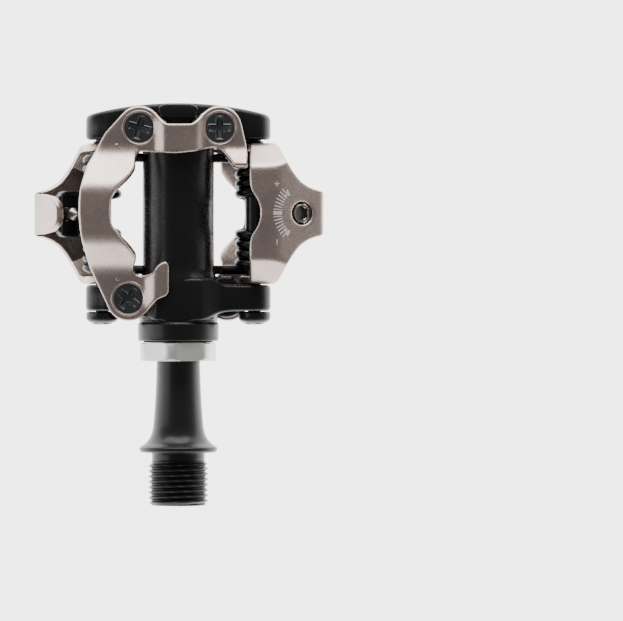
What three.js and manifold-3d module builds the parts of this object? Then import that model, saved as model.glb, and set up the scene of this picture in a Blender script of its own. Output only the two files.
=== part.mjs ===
// A two-sided clipless bicycle pedal, in millimetres.
// The spindle lies along Y: the crank thread points to -Y and the pedal body stands out along +Y.
// The origin is on the spindle's axis, in the plane of the flange that seats on the crank arm. +Z is up.
// Every mechanism piece is built once, for the upper face, and repeated for the lower face by half a turn about Y.
import * as THREE from "three";
import { mergeVertices } from "three/addons/utils/BufferGeometryUtils.js";
import Module from "manifold-3d";

const wasm = await Module();
wasm.setup();

// ---- driving dimensions -------------------------------------------------------------------------
const GAP = 0.3; // clearance between pieces that touch or run on each other
const ROUND = 28; // facets of a round piece

const THREAD_LENGTH = 12.6; // crank thread with its relief groove
const THREAD_RADIUS = 7.14; // 9/16 inch over the crests
const THREAD_ROOT_RADIUS = 6.35;
const THREAD_PITCH = 1.27; // 20 turns an inch
const RELIEF_WIDTH = 1.9; // groove between the thread and the flange
const FLANGE_RADIUS = 9.3;
const FLANGE_RIM = 1.1;
const SPINDLE_RADIUS = 5.15; // where it enters the lock nut
const SPINDLE_TAIL_RADIUS = 3.0; // the threaded tail that carries the cone
const KEY_ACROSS_FLATS = 8; // hexagon key socket
const KEY_DEPTH = 8.5;

const COLLAR_START = 26.5; // inboard face of the body
const BARREL_RADIUS = 8.5;
const BORE_RADIUS = 6.9;
const INBOARD_WING_THICKNESS = 6.2; // the wing that carries the pivot pins' heads
const OUTBOARD_WING_THICKNESS = 5.7; // at its two ends
const OUTBOARD_BULGE = 2.9; // how far the body's end stands out in the middle
const END_WALL = 4; // what closes the bore at the outboard end
const WING_END = 3.9; // from a pivot pin's axis to the end of a wing
const WING_HALF_HEIGHT = 6;
const HUB_RISE = 1.1; // how far the hub stands above the barrel
const PAD_DROP = 1.8; // how far the seats of the hoop's tabs lie below the barrel's top

const NUT_ACROSS_FLATS = 17;
const NUT_CORNER_RADIUS = 9.35; // corners are turned off to this radius
const NUT_START = 21.8;
const NUT_LENGTH = 4.4;
const NUT_SLEEVE_END = 37;
const NUT_BORE_RADIUS = 6.1;

const PLATE = 2; // thickness of the pressed steel plates
const HOOP_TOP = 16; // top of the cleat hoop
const HOOP_OVER_BARREL = 0.2; // room under the plate where it passes over the barrel
const HOOP_SCREWS = [
  { x: -9.0, y: 77.0 },
  { x: 10.0, y: 77.0 },
  { x: -11.6, y: 36.6 },
];
const SCREW_HEAD_RADIUS = 3.7;
const SCREW_SHANK_RADIUS = 2;
const SCREW_LENGTH = 6.6;

const PIN_X = 18.1; // distance of the pivot pins from the spindle's axis
const PIN_RADIUS = 1.6;
const PIN_HEAD_RADIUS = 3.85;
const PIN_HEAD_HEIGHT = 3;
const CLAW_MIDDLE = 56.8; // middle of the claw along the spindle
const CLAW_WIDTH = 33.4; // over the outside of its two arms
const CLAW_PLAY = { inboard: 0.2, outboard: 0.9 }; // between an arm and the wing beside it
const CLAW_TOP = 14;
const CLAW_INNER_X = PIN_X - 1; // the edge that grips the cleat
const CLAW_BEND_X = PIN_X + 4.3; // where the top starts to slope
const CLAW_TIP = { x: PIN_X + 16.5, z: 6.9 };
const CLAW_HOOK = { x: PIN_X + 10.5, z: -3.2 }; // lower end of the tip plate
const CLAW_HOOK_HALF_WIDTH = 5;
const CLAW_SIDE_DROP = 8; // how far the sloping sides come down to the arms
const CLAW_SIDE_RUN = 5.8;
const CLAW_ARM_RADIUS = 4;

const SPRING_WIRE_RADIUS = 1.1;
const SPRING_COIL_RADIUS = 3.6;
const SPRING_COIL_GAP = 5; // free width between the coils
const BUSH_RADIUS = SPRING_COIL_RADIUS - SPRING_WIRE_RADIUS - 0.3;

const TENSION_SCREW_X = PIN_X + 11.5; // where the screw's axis meets the claw's sloping top
const TENSION_SCREW_RADIUS = 1.5;
const TENSION_HEAD_RADIUS = 2.2;
const TENSION_SCREW_LENGTH = 11.5;
const BLOCK = { width: 11, depth: 6.4, thickness: 3, below: 4.2 };

const BALL_RADIUS = 1.19; // 3/32 inch balls
const BALL_COUNT = 9;
const BALL_PITCH_RADIUS = 4.85;
const CONE_LENGTH = 9.4;
const CONE_TO_BORE_END = 17;
const TRACK_INSET = 1.6; // from an end of the cone to the plane of a ball row
const WASHER_THICKNESS = 0.8;

// ---- sizes that follow from them ----------------------------------------------------------------
const CLAW_FROM = CLAW_MIDDLE - CLAW_WIDTH / 2;
const CLAW_TO = CLAW_MIDDLE + CLAW_WIDTH / 2;
const CLAW_SLOPE = Math.atan2(CLAW_TOP - CLAW_TIP.z, CLAW_TIP.x - CLAW_BEND_X);
const TENSION_SCREW_TOP = CLAW_TOP - (TENSION_SCREW_X - CLAW_BEND_X) * Math.tan(CLAW_SLOPE);

const inboardEnd = CLAW_FROM - CLAW_PLAY.inboard;
const INBOARD_WING = { start: inboardEnd - INBOARD_WING_THICKNESS, end: inboardEnd };
const outboardStart = CLAW_TO + CLAW_PLAY.outboard;
const OUTBOARD_WING = { start: outboardStart, end: outboardStart + OUTBOARD_WING_THICKNESS };
const WING_HALF_WIDTH = PIN_X + WING_END;
const BODY_END = OUTBOARD_WING.end + OUTBOARD_BULGE;
const BORE_END = BODY_END - END_WALL;
const SPINDLE_END = BORE_END - 2.8;
const CONE_START = BORE_END - CONE_TO_BORE_END;
const TRACK_YS = [CONE_START + TRACK_INSET, CONE_START + CONE_LENGTH - TRACK_INSET];

const COLLAR_RADIUS = BARREL_RADIUS + HUB_RISE;
const HUB_TOP = BARREL_RADIUS + HUB_RISE;
const PAD_TOP = BARREL_RADIUS - PAD_DROP;
const HOOP_TAB_TOP = PAD_TOP + GAP + PLATE;
const HOOP_STEP = BARREL_RADIUS + HOOP_OVER_BARREL + PLATE - HOOP_TAB_TOP; // rise of the tabs over the barrel

// The hoop's outline and its screws are drawn for this width of claw; a place along the spindle then moves
// with the wing that is on its side of the middle.
const DRAWN_WIDTH = 33.4;
function alongBody(y) {
  const share = THREE.MathUtils.clamp((2 * (y - CLAW_MIDDLE)) / DRAWN_WIDTH, -1, 1);
  return y + (share * (CLAW_WIDTH - DRAWN_WIDTH)) / 2;
}
const SCREW_PLACES = HOOP_SCREWS.map(({ x, y }) => ({ x, y: alongBody(y) }));

// The spring's end legs lie just inside the claw's arms, and as many turns as fit lie between leg and bridge.
const LEG_FROM_MIDDLE = CLAW_WIDTH / 2 - PLATE - GAP - SPRING_WIRE_RADIUS;
const COIL_LENGTH = LEG_FROM_MIDDLE - SPRING_COIL_GAP / 2 - SPRING_WIRE_RADIUS;
const SPRING_TURNS = Math.floor(COIL_LENGTH / (2.04 * SPRING_WIRE_RADIUS) - 0.25) + 0.25; // in each coil
const springLegY = (side) => CLAW_MIDDLE + side * LEG_FROM_MIDDLE; // side is -1 inboard and 1 outboard

// ---- helpers ------------------------------------------------------------------------------------

// A closed three.js geometry as a manifold solid, turned right way out.
function solid(geometry) {
  const bare = geometry.index ? geometry.toNonIndexed() : geometry.clone();
  bare.deleteAttribute("normal");
  bare.deleteAttribute("uv");
  const merged = mergeVertices(bare, 1e-4);
  const vertProperties = merged.attributes.position.array;
  const triVerts = new Uint32Array(merged.index.array);
  const made = new wasm.Manifold(new wasm.Mesh({ numProp: 3, vertProperties, triVerts }));
  if (made.volume() > 0) return made;
  const turned = triVerts.slice();
  for (let i = 0; i < turned.length; i += 3) [turned[i + 1], turned[i + 2]] = [triVerts[i + 2], triVerts[i + 1]];
  return new wasm.Manifold(new wasm.Mesh({ numProp: 3, vertProperties, triVerts: turned }));
}

const join = (first, ...rest) => rest.reduce((sum, next) => sum.add(next), first);
const cut = (first, ...rest) => rest.reduce((left, next) => left.subtract(next), first);

function outline(points) {
  return new THREE.Shape(points.map(([a, b]) => new THREE.Vector2(a, b)));
}

// Outlines are drawn in a plane and carried along the axis that is square to it.
function alongZ(shape, from, to, curveSegments = 6) {
  const made = new THREE.ExtrudeGeometry(shape, { depth: to - from, bevelEnabled: false, curveSegments });
  return solid(made.translate(0, 0, from));
}

function alongY(shapeXZ, from, to, curveSegments = 6) {
  const made = new THREE.ExtrudeGeometry(shapeXZ, { depth: to - from, bevelEnabled: false, curveSegments });
  return solid(made.rotateX(Math.PI / 2).translate(0, to, 0));
}

function alongX(shapeYZ, from, to, curveSegments = 6) {
  const made = new THREE.ExtrudeGeometry(shapeYZ, { depth: to - from, bevelEnabled: false, curveSegments });
  const axes = new THREE.Matrix4().makeBasis(
    new THREE.Vector3(0, 1, 0),
    new THREE.Vector3(0, 0, 1),
    new THREE.Vector3(1, 0, 0),
  );
  return solid(made.applyMatrix4(axes).translate(from, 0, 0));
}

// A turned piece about the Y axis from [radius, y] pairs that start and end on the axis, or close on themselves.
function turned(profile, facets = ROUND) {
  return solid(new THREE.LatheGeometry(profile.map(([r, y]) => new THREE.Vector2(r, y)), facets));
}

const rod = (radius, from, to, facets = ROUND) => turned([[0, from], [radius, from], [radius, to], [0, to]], facets);

function ring(outer, inner, from, to, facets = ROUND) {
  return turned([[inner, from], [outer, from], [outer, to], [inner, to], [inner, from]], facets);
}

const shifted = (made, x, y, z) => made.translate([x, y, z]);

// A hexagonal bar along Y.
function hexBar(acrossFlats, from, to) {
  return rod(acrossFlats / Math.sqrt(3), from, to, 6);
}

function material(color, metalness, roughness) {
  return new THREE.MeshStandardMaterial({ color, metalness, roughness });
}

const BLACK_PAINT = material(0x1c1c1d, 0.2, 0.35);
const STEEL_PLATE = material(0xa0918c, 0.9, 0.35);
const BLACK_STEEL = material(0x232324, 0.6, 0.35);
const ALUMINIUM = material(0xc9cacb, 0.9, 0.4);
const BRIGHT_STEEL = material(0xb4b4b6, 1, 0.25);
const RUBBER = material(0x141414, 0, 0.8);
const BRONZE = material(0xa87a45, 0.9, 0.4);

function mesh(name, made, paint) {
  const flat = made.getMesh();
  const geometry = new THREE.BufferGeometry();
  const positions = new Float32Array(flat.numVert * 3);
  for (let i = 0; i < flat.numVert; i++) {
    positions.set(flat.vertProperties.subarray(i * flat.numProp, i * flat.numProp + 3), i * 3);
  }
  geometry.setAttribute("position", new THREE.BufferAttribute(positions, 3));
  geometry.setIndex(new THREE.BufferAttribute(flat.triVerts, 1));
  const node = new THREE.Mesh(geometry, paint);
  node.name = name;
  return node;
}

// ---- spindle and its bearing --------------------------------------------------------------------

function spindle() {
  const threadEnd = -RELIEF_WIDTH;
  const threadProfile = [];
  for (let y = -THREAD_LENGTH + 0.9; y < threadEnd - THREAD_PITCH; y += THREAD_PITCH) {
    threadProfile.push([THREAD_RADIUS, y + 0.1], [THREAD_ROOT_RADIUS, y + THREAD_PITCH / 2]);
  }
  const flareStart = FLANGE_RIM + 0.4;
  const flare = [0, 0.2, 0.45, 0.75, 1].map((t) => {
    const fall = (1 - t) ** 2.6;
    return [SPINDLE_RADIUS + 0.85 - 0.3 * t + (FLANGE_RADIUS - SPINDLE_RADIUS - 0.85) * fall, flareStart + 5 * t];
  });
  const body = turned([
    [0, -THREAD_LENGTH],
    [THREAD_ROOT_RADIUS - 0.3, -THREAD_LENGTH],
    ...threadProfile,
    [THREAD_ROOT_RADIUS - 0.05, threadEnd],
    [THREAD_ROOT_RADIUS - 0.05, 0],
    [FLANGE_RADIUS, 0],
    [FLANGE_RADIUS, FLANGE_RIM],
    ...flare,
    [SPINDLE_RADIUS, NUT_START],
    [SPINDLE_RADIUS, NUT_SLEEVE_END + 1.5],
    [SPINDLE_TAIL_RADIUS + 1, NUT_SLEEVE_END + 5],
    [SPINDLE_TAIL_RADIUS + 0.6, CONE_START - 0.3],
    [SPINDLE_TAIL_RADIUS, CONE_START - 0.3],
    [SPINDLE_TAIL_RADIUS, SPINDLE_END],
    [0, SPINDLE_END],
  ]);
  return cut(body, hexBar(KEY_ACROSS_FLATS, -THREAD_LENGTH - 1, -THREAD_LENGTH + KEY_DEPTH));
}

function bearingCone() {
  const track = BALL_PITCH_RADIUS - BALL_RADIUS - GAP / 2;
  return ring(track, SPINDLE_TAIL_RADIUS + GAP / 2, CONE_START, CONE_START + CONE_LENGTH, 24);
}

function keyedWasher() {
  const start = CONE_START + CONE_LENGTH + 0.1;
  return ring(BALL_PITCH_RADIUS - 0.6, SPINDLE_TAIL_RADIUS + GAP / 2, start, start + WASHER_THICKNESS, 24);
}

function coneLocknut() {
  const start = CONE_START + CONE_LENGTH + WASHER_THICKNESS + 0.2;
  return cut(hexBar(8.6, start, start + 3), rod(SPINDLE_TAIL_RADIUS + GAP / 2, start - 1, start + 4, 24));
}

// A row of balls held by a thin band, so that it is one piece.
function ballRow(y) {
  const band = ring(BALL_PITCH_RADIUS + 0.3, BALL_PITCH_RADIUS - 0.3, y - 0.5, y + 0.5, BALL_COUNT * 2);
  let row = band;
  for (let i = 0; i < BALL_COUNT; i++) {
    const angle = (i / BALL_COUNT) * 2 * Math.PI;
    const ball = new THREE.SphereGeometry(BALL_RADIUS, 7, 5);
    ball.translate(BALL_PITCH_RADIUS * Math.cos(angle), y, BALL_PITCH_RADIUS * Math.sin(angle));
    row = row.add(solid(ball));
  }
  return row;
}

function bearingSleeve() {
  const inner = BALL_PITCH_RADIUS + BALL_RADIUS + GAP / 2;
  return ring(BORE_RADIUS - GAP / 2, inner, CONE_START - 1.5, CONE_START + CONE_LENGTH + 1.5, 24);
}

function lockNut() {
  const head = hexBar(NUT_ACROSS_FLATS, NUT_START, NUT_START + NUT_LENGTH).intersect(
    turned([
      [0, NUT_START],
      [NUT_CORNER_RADIUS - 0.7, NUT_START],
      [NUT_CORNER_RADIUS, NUT_START + 0.7],
      [NUT_CORNER_RADIUS, NUT_START + NUT_LENGTH - 0.5],
      [NUT_CORNER_RADIUS - 0.5, NUT_START + NUT_LENGTH],
      [0, NUT_START + NUT_LENGTH],
    ]),
  );
  const turnedHead = head.rotate([0, 20, 0]);
  const sleeve = rod(BORE_RADIUS - GAP / 2, NUT_START + NUT_LENGTH - 0.5, NUT_SLEEVE_END);
  const mouth = turned([
    [0, NUT_START - 1],
    [NUT_BORE_RADIUS + 0.7, NUT_START - 1],
    [NUT_BORE_RADIUS + 0.7, NUT_START + 3],
    [NUT_BORE_RADIUS, NUT_START + 3],
    [NUT_BORE_RADIUS, NUT_SLEEVE_END + 1],
    [0, NUT_SLEEVE_END + 1],
  ]);
  return cut(join(turnedHead, sleeve), mouth);
}

const spindleSeal = () =>
  ring(NUT_BORE_RADIUS + 0.7 - GAP / 2, SPINDLE_RADIUS + GAP, NUT_START + 0.9, NUT_START + 2.7, 32);

const collarORing = () =>
  ring(COLLAR_RADIUS - 1.3, BORE_RADIUS, NUT_START + NUT_LENGTH + 0.03, COLLAR_START - 0.03, 32);

const inboardBush = () =>
  ring(NUT_BORE_RADIUS - GAP / 2, SPINDLE_RADIUS + GAP, NUT_START + 3.3, NUT_SLEEVE_END, 32);

// ---- body ---------------------------------------------------------------------------------------

// Upper edge of a wing seen along the spindle: lug, slope, hub top and screw pad. The lower edge is the same
// line after half a turn about the spindle.
function wingSection(upperEdge) {
  return outline([...upperEdge, ...upperEdge.map(([x, z]) => [-x, -z])]);
}

function inboardWing() {
  const lug = WING_HALF_HEIGHT;
  const end = WING_HALF_WIDTH;
  const section = wingSection([
    [-end, 0],
    [-end, lug - 3.4],
    [-end + 1.2, lug - 1.3],
    [-end + 3.4, lug],
    [-17.2, PAD_TOP],
    [-7.6, PAD_TOP],
    [-5, HUB_TOP],
    [5.4, HUB_TOP],
    [7.6, HUB_TOP - 0.9],
    [9.8, PAD_TOP],
    [12, PAD_TOP - 0.8],
    [15.4, lug],
    [end - 3.4, lug],
    [end - 1.2, lug - 1.3],
    [end, lug - 3.4],
  ]);
  const { start, end: back } = INBOARD_WING;
  const plan = outline([
    [-WING_HALF_WIDTH, back],
    [-WING_HALF_WIDTH, start],
    [-10, start],
    [-6, start - 2.6],
    [6, start - 2.6],
    [10, start],
    [WING_HALF_WIDTH, start],
    [WING_HALF_WIDTH, back],
    [12.4, back],
    [9.6, back + 1.4],
    [8.4, back + 1.9],
    [7, back + 4.2],
    [-7, back + 4.2],
    [-8.4, back + 1.9],
    [-9.6, back + 1.4],
    [-12.4, back],
  ]);
  return alongY(section, start - 3, back + 5).intersect(alongZ(plan, -12, 12));
}

function outboardWing() {
  const lug = WING_HALF_HEIGHT;
  const end = WING_HALF_WIDTH;
  const { start, end: back } = OUTBOARD_WING;
  const section = wingSection([
    [-end, 0],
    [-end, lug - 3.4],
    [-end + 1.2, lug - 1.3],
    [-end + 3.4, lug],
    [-16, PAD_TOP],
    [16, PAD_TOP],
    [end - 3.4, lug],
    [end - 1.2, lug - 1.3],
    [end, lug - 3.4],
  ]);
  const arc = [];
  for (let i = 0; i <= 8; i++) {
    const x = WING_HALF_WIDTH * (1 - i / 4);
    arc.push([x, back + (BODY_END - back) * (1 - (x / WING_HALF_WIDTH) ** 2)]);
  }
  const plan = outline([
    [-WING_HALF_WIDTH, start],
    [-15.2, start],
    [-13.4, start - 1.8],
    [-8.4, start - 2.1],
    [-7.6, start - 4.2],
    [7.6, start - 4.2],
    [8.4, start - 2.1],
    [13.4, start - 1.8],
    [15.2, start],
    [WING_HALF_WIDTH, start],
    ...arc,
  ]);
  return alongY(section, start - 5, BODY_END + 1).intersect(alongZ(plan, -12, 12));
}

// The lump on the outboard end between the hoop's two screws, one on each face.
function endLump() {
  const plan = outline([
    [-6.6, BODY_END - 0.8],
    [-4.4, BODY_END - 2.6],
    [-3.2, BODY_END - 4.4],
    [3.6, BODY_END - 4.4],
    [4.8, BODY_END - 2.6],
    [6.6, BODY_END - 0.8],
    [3.4, BODY_END],
    [-3.4, BODY_END],
  ]);
  return alongZ(plan, 5, HUB_TOP);
}

// A short rib beside the barrel that the spring's end leg bears up against.
function springStop(y) {
  const under = -SPRING_COIL_RADIUS + SPRING_WIRE_RADIUS + GAP;
  const half = SPRING_WIRE_RADIUS;
  const from = BARREL_RADIUS - 2.5;
  const to = BARREL_RADIUS + 2.1;
  const plan = outline([[from, y - half], [to, y - half], [to, y + half], [from, y + half]]);
  return alongZ(plan, under, under + 2.4);
}

const halfTurn = (made) => made.rotate([0, 180, 0]);

// Where a hoop screw goes into the body.
function screwHole({ x, y }) {
  const hole = rod(SCREW_SHANK_RADIUS + GAP / 2, 0, 20, 16).rotate([90, 0, 0]);
  return shifted(hole, x, y, HOOP_TAB_TOP - SCREW_LENGTH - GAP);
}

// Room for the hoop's raised tongue, which crosses the hub's edge.
function tongueSeat() {
  const [from, to] = [alongBody(34), alongBody(47)];
  const plan = outline([[-9, from], [-1.4, from], [-1.4, to], [-9, to]]);
  return alongZ(plan, HOOP_TAB_TOP + HOOP_STEP - PLATE - GAP, 14);
}

function bodyCasting() {
  const collar = turned([
    [0, COLLAR_START],
    [COLLAR_RADIUS - 0.4, COLLAR_START],
    [COLLAR_RADIUS, COLLAR_START + 0.4],
    [COLLAR_RADIUS, INBOARD_WING.start + 0.5],
    [0, INBOARD_WING.start + 0.5],
  ]);
  const barrel = rod(BARREL_RADIUS, INBOARD_WING.start, OUTBOARD_WING.end);
  const legYs = [springLegY(-1), springLegY(1)];
  const upperExtras = [endLump(), ...legYs.map(springStop)];
  let body = join(collar, barrel, inboardWing(), outboardWing());
  for (const extra of upperExtras) body = join(body, extra, halfTurn(extra));
  const bore = rod(BORE_RADIUS, COLLAR_START - 1, BORE_END);
  const pinHole = shifted(rod(PIN_RADIUS + GAP / 2, 20, 90, 20), PIN_X, 0, 0);
  const upperCuts = [...SCREW_PLACES.map(screwHole), tongueSeat(), pinHole];
  body = cut(body, bore);
  for (const hole of upperCuts) body = cut(body, hole, halfTurn(hole));
  return body;
}

// ---- hoop ---------------------------------------------------------------------------------------

// The fixed hoop's outline from above: the C round the cleat, the three screw lobes, the tongue over the barrel
// and the short guide at the right.
function hoopPlan() {
  const [left, right, inboard] = HOOP_SCREWS;
  const lobe = 5.3;
  const guideEnd = CLAW_INNER_X - 0.4;
  const plan = new THREE.Shape();
  plan.moveTo(-19.2, 71.8);
  plan.lineTo(left.x - lobe * 0.72, left.y + lobe * 0.72);
  plan.absarc(left.x, left.y, lobe, 0.78 * Math.PI, 0.2 * Math.PI, true);
  plan.lineTo(-3.1, 78.4);
  plan.lineTo(3.8, 78.4);
  plan.lineTo(right.x - lobe * 0.81, right.y + lobe * 0.59);
  plan.absarc(right.x, right.y, lobe, 0.8 * Math.PI, 0.08 * Math.PI, true);
  plan.lineTo(guideEnd - 0.7, 74);
  plan.lineTo(guideEnd, 71);
  plan.lineTo(guideEnd, 68);
  plan.lineTo(guideEnd - 3.5, 68);
  plan.lineTo(10.4, 71.6);
  plan.quadraticCurveTo(9.2, 72.6, 7.4, 72.1);
  plan.quadraticCurveTo(0, 69.8, -8.6, 71.5);
  plan.lineTo(-9.6, 71.4);
  plan.lineTo(-9.9, 69.6);
  plan.lineTo(-9.5, 68);
  plan.lineTo(-13.2, 63.6);
  plan.quadraticCurveTo(-15.9, 60.6, -15.8, 57);
  plan.quadraticCurveTo(-15.9, 54, -14, 52);
  plan.lineTo(-9.6, 46.4);
  plan.lineTo(-9.6, 44.8);
  plan.lineTo(-10.4, 43.9);
  plan.lineTo(-10.4, 42.2);
  plan.lineTo(-6.6, 42.6);
  plan.lineTo(-3.9, 45.3);
  plan.lineTo(-2.1, 44.9);
  plan.lineTo(-2.1, 37.5);
  plan.lineTo(-5.2, 36.1);
  plan.quadraticCurveTo(-7.2, 35, inboard.x + lobe * 0.72, inboard.y - lobe * 0.72);
  plan.absarc(inboard.x, inboard.y, lobe, -0.26 * Math.PI, -0.84 * Math.PI, true);
  plan.lineTo(-20.4, 42.4);
  plan.quadraticCurveTo(-23.1, 50, -23.2, 57);
  plan.quadraticCurveTo(-23.1, 64, -21.4, 68.4);
  return outline(plan.getPoints(7).map(({ x, y }) => [x, alongBody(y)]));
}

// The plate's bends are bands of one thickness, seen along X for the arms and along Y for the steps.
function hoopBands() {
  const low = HOOP_TAB_TOP;
  const high = HOOP_TOP;
  const step = low + HOOP_STEP;
  const bandAlongX = (line, from, to) => {
    const top = line.map(([y, z, drop = 0]) => [alongBody(y), z, drop]);
    const under = top.toReversed().map(([y, z, drop]) => [y + drop, z - PLATE]);
    return alongX(outline([...top, ...under]), from, to);
  };
  const arms = bandAlongX(
    [
      [42.8, low, 0],
      [43.2, low, 0.4],
      [50.6, high - 0.4, 1],
      [52, high, 0.6],
      [63.6, high, -0.6],
      [65, high - 0.4, -1],
      [71, low, -0.4],
      [71.5, low, 0],
    ],
    -30,
    -7.5,
  );
  const guide = bandAlongX(
    [
      [66, low + 4.6, 0],
      [72.4, low, -0.4],
      [90, low, 0],
    ],
    9.9,
    30,
  );
  const stepBand = (line, from, to) => {
    const under = line.toReversed().map(([x, z]) => [x, z - PLATE]);
    return alongY(outline([...line, ...under]), alongBody(from), alongBody(to));
  };
  const edge = Math.sqrt(BARREL_RADIUS ** 2 - (PAD_TOP + GAP) ** 2) + 0.18; // where the barrel meets the tabs
  const bridge = [[-30, low], [-edge, low], [-edge + 1.4, step], [edge - 0.2, step], [edge + 1.2, low], [10, low]];
  const outboard = stepBand(bridge, 71.4, 90);
  const inboard = stepBand([[-30, low], [-7.6, low], [-5.8, step], [0, step]], 25, 42.9);
  const tongue = stepBand([[-7.7, low - 0.1], [-7.6, low], [-5.8, step], [0, step]], 42.8, 50);
  return join(arms, guide, outboard, inboard, tongue);
}

function countersink({ x, y }, extra) {
  const cone = turned(
    [
      [0, -12],
      [SCREW_SHANK_RADIUS + extra, -12],
      [SCREW_SHANK_RADIUS + extra, -2.05],
      [SCREW_HEAD_RADIUS + extra, -0.4],
      [SCREW_HEAD_RADIUS + extra, 8],
      [0, 8],
    ],
    24,
  ).rotate([90, 0, 0]);
  return shifted(cone, x, y, HOOP_TAB_TOP);
}

function upperHoop() {
  const plate = alongZ(hoopPlan(), 0, 30).intersect(hoopBands());
  return cut(plate, ...SCREW_PLACES.map((place) => countersink(place, GAP / 2)));
}

// A cross recess for a driver, cut square into a head whose face lies in the plane y = 0 and looks along +Y.
function crossRecess(arm, width, depth) {
  const bar = new THREE.BoxGeometry(2 * arm, depth * 2, width);
  return join(solid(bar), solid(bar.clone().rotateY(Math.PI / 2)));
}

function hoopScrew({ x, y }, turn) {
  const shape = turned(
    [
      [0, -SCREW_LENGTH],
      [SCREW_SHANK_RADIUS, -SCREW_LENGTH],
      [SCREW_SHANK_RADIUS, -1.9],
      [SCREW_HEAD_RADIUS, -0.25],
      [SCREW_HEAD_RADIUS, -0.1],
      [0, -0.1],
    ],
    24,
  );
  const recess = shifted(crossRecess(2.4, 0.9, 1.2), 0, -0.1, 0).rotate([0, turn, 0]);
  return shifted(cut(shape, recess).rotate([90, 0, 0]), x, y, HOOP_TAB_TOP);
}

// ---- claw ---------------------------------------------------------------------------------------

// The claw as a closed lid, pulled in by a wall: its shape along Y and its shape along X cut each other.
function clawLid(wall, floor) {
  const run = wall * 1.06;
  const slopeWall = wall / Math.cos(CLAW_SLOPE);
  const sideWall = wall * 0.45;
  const seenAlongY = outline([
    [0, floor],
    [0, CLAW_TOP - wall],
    [CLAW_BEND_X - wall * Math.tan(CLAW_SLOPE / 2), CLAW_TOP - wall],
    [CLAW_TIP.x, CLAW_TIP.z - slopeWall],
    [CLAW_TIP.x, floor],
  ]);
  const side = CLAW_TOP - CLAW_SIDE_DROP;
  const seenAlongX = outline([
    [CLAW_FROM + wall, floor],
    [CLAW_FROM + wall, side - sideWall],
    [CLAW_FROM + CLAW_SIDE_RUN + run * 0.5, CLAW_TOP - wall],
    [CLAW_TO - CLAW_SIDE_RUN - run * 0.5, CLAW_TOP - wall],
    [CLAW_TO - wall, side - sideWall],
    [CLAW_TO - wall, floor],
  ]);
  return alongY(seenAlongY, CLAW_FROM - 1, CLAW_TO + 1).intersect(alongX(seenAlongX, 0, CLAW_TIP.x + 5));
}

// The claw's outline from above, one half, from the gripping edge to the tip; the other half mirrors it.
function clawPlan() {
  const across = CLAW_WIDTH / 2;
  const half = [
    [CLAW_INNER_X + 2.6, 0],
    [CLAW_INNER_X + 2.3, 2],
    [CLAW_INNER_X + 0.5, 5.4],
    [CLAW_INNER_X, 7],
    [CLAW_INNER_X, across],
    [PIN_X + 5.5, across],
    [PIN_X + 7.1, across * 0.82],
    [PIN_X + 8.9, across * 0.67],
    [PIN_X + 11.7, across * 0.485],
    [CLAW_TIP.x - 2.4, CLAW_HOOK_HALF_WIDTH * 1.24],
    [CLAW_TIP.x, CLAW_HOOK_HALF_WIDTH],
  ];
  const other = half.slice(1).reverse();
  return outline([
    ...half.map(([x, dy]) => [x, CLAW_MIDDLE + dy]),
    ...other.map(([x, dy]) => [x, CLAW_MIDDLE - dy]),
  ]);
}

// What is left of the claw when it is looked at along the spindle: the top, the sides and the two arms.
function clawSideView() {
  const view = new THREE.Shape();
  view.moveTo(CLAW_INNER_X - 1, 20);
  view.lineTo(CLAW_INNER_X - 1, 4);
  view.lineTo(PIN_X - CLAW_ARM_RADIUS + 0.3, 2);
  view.absarc(PIN_X, 0, CLAW_ARM_RADIUS, 0.85 * Math.PI, 2.05 * Math.PI, false);
  view.lineTo(PIN_X + 5.3, CLAW_TOP - CLAW_SIDE_DROP);
  view.lineTo(CLAW_TIP.x + 5, CLAW_TOP - CLAW_SIDE_DROP - 4);
  view.lineTo(CLAW_TIP.x + 5, 20);
  return view;
}

function clawHook() {
  const along = new THREE.Vector2(CLAW_HOOK.x - CLAW_TIP.x, CLAW_HOOK.z - CLAW_TIP.z).normalize();
  const inward = new THREE.Vector2(along.y, -along.x).multiplyScalar(PLATE);
  const corner = [CLAW_TIP.x, CLAW_TIP.z];
  const back = [CLAW_TIP.x - 3, CLAW_TIP.z + 3 * Math.tan(CLAW_SLOPE) - 0.2];
  const section = outline([
    corner,
    [CLAW_HOOK.x, CLAW_HOOK.z],
    [CLAW_HOOK.x + inward.x, CLAW_HOOK.z + inward.y],
    [CLAW_TIP.x + inward.x * 1.4, CLAW_TIP.z + inward.y * 1.4 - 2],
    back,
  ]);
  const wide = CLAW_HOOK_HALF_WIDTH;
  const rounded = [
    [CLAW_TIP.x + 1, wide],
    [CLAW_TIP.x - 2.2, wide],
    [CLAW_HOOK.x + 2.4, wide * 0.84],
    [CLAW_HOOK.x + 1, wide * 0.56],
    [CLAW_HOOK.x - 2.2, wide * 0.4],
  ];
  const mirrored = rounded.toReversed().map(([x, dy]) => [x, -dy]);
  const plan = outline([...rounded, ...mirrored].map(([x, dy]) => [x, CLAW_MIDDLE + dy]));
  return alongY(section, CLAW_FROM, CLAW_TO).intersect(alongZ(plan, -12, 20));
}

// The tension screw's frame: its axis is square to the claw's sloping top.
function onTensionAxis(made) {
  const lean = THREE.MathUtils.radToDeg(CLAW_SLOPE);
  return shifted(made.rotate([90, 0, 0]).rotate([0, lean, 0]), TENSION_SCREW_X, CLAW_MIDDLE, TENSION_SCREW_TOP);
}

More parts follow.
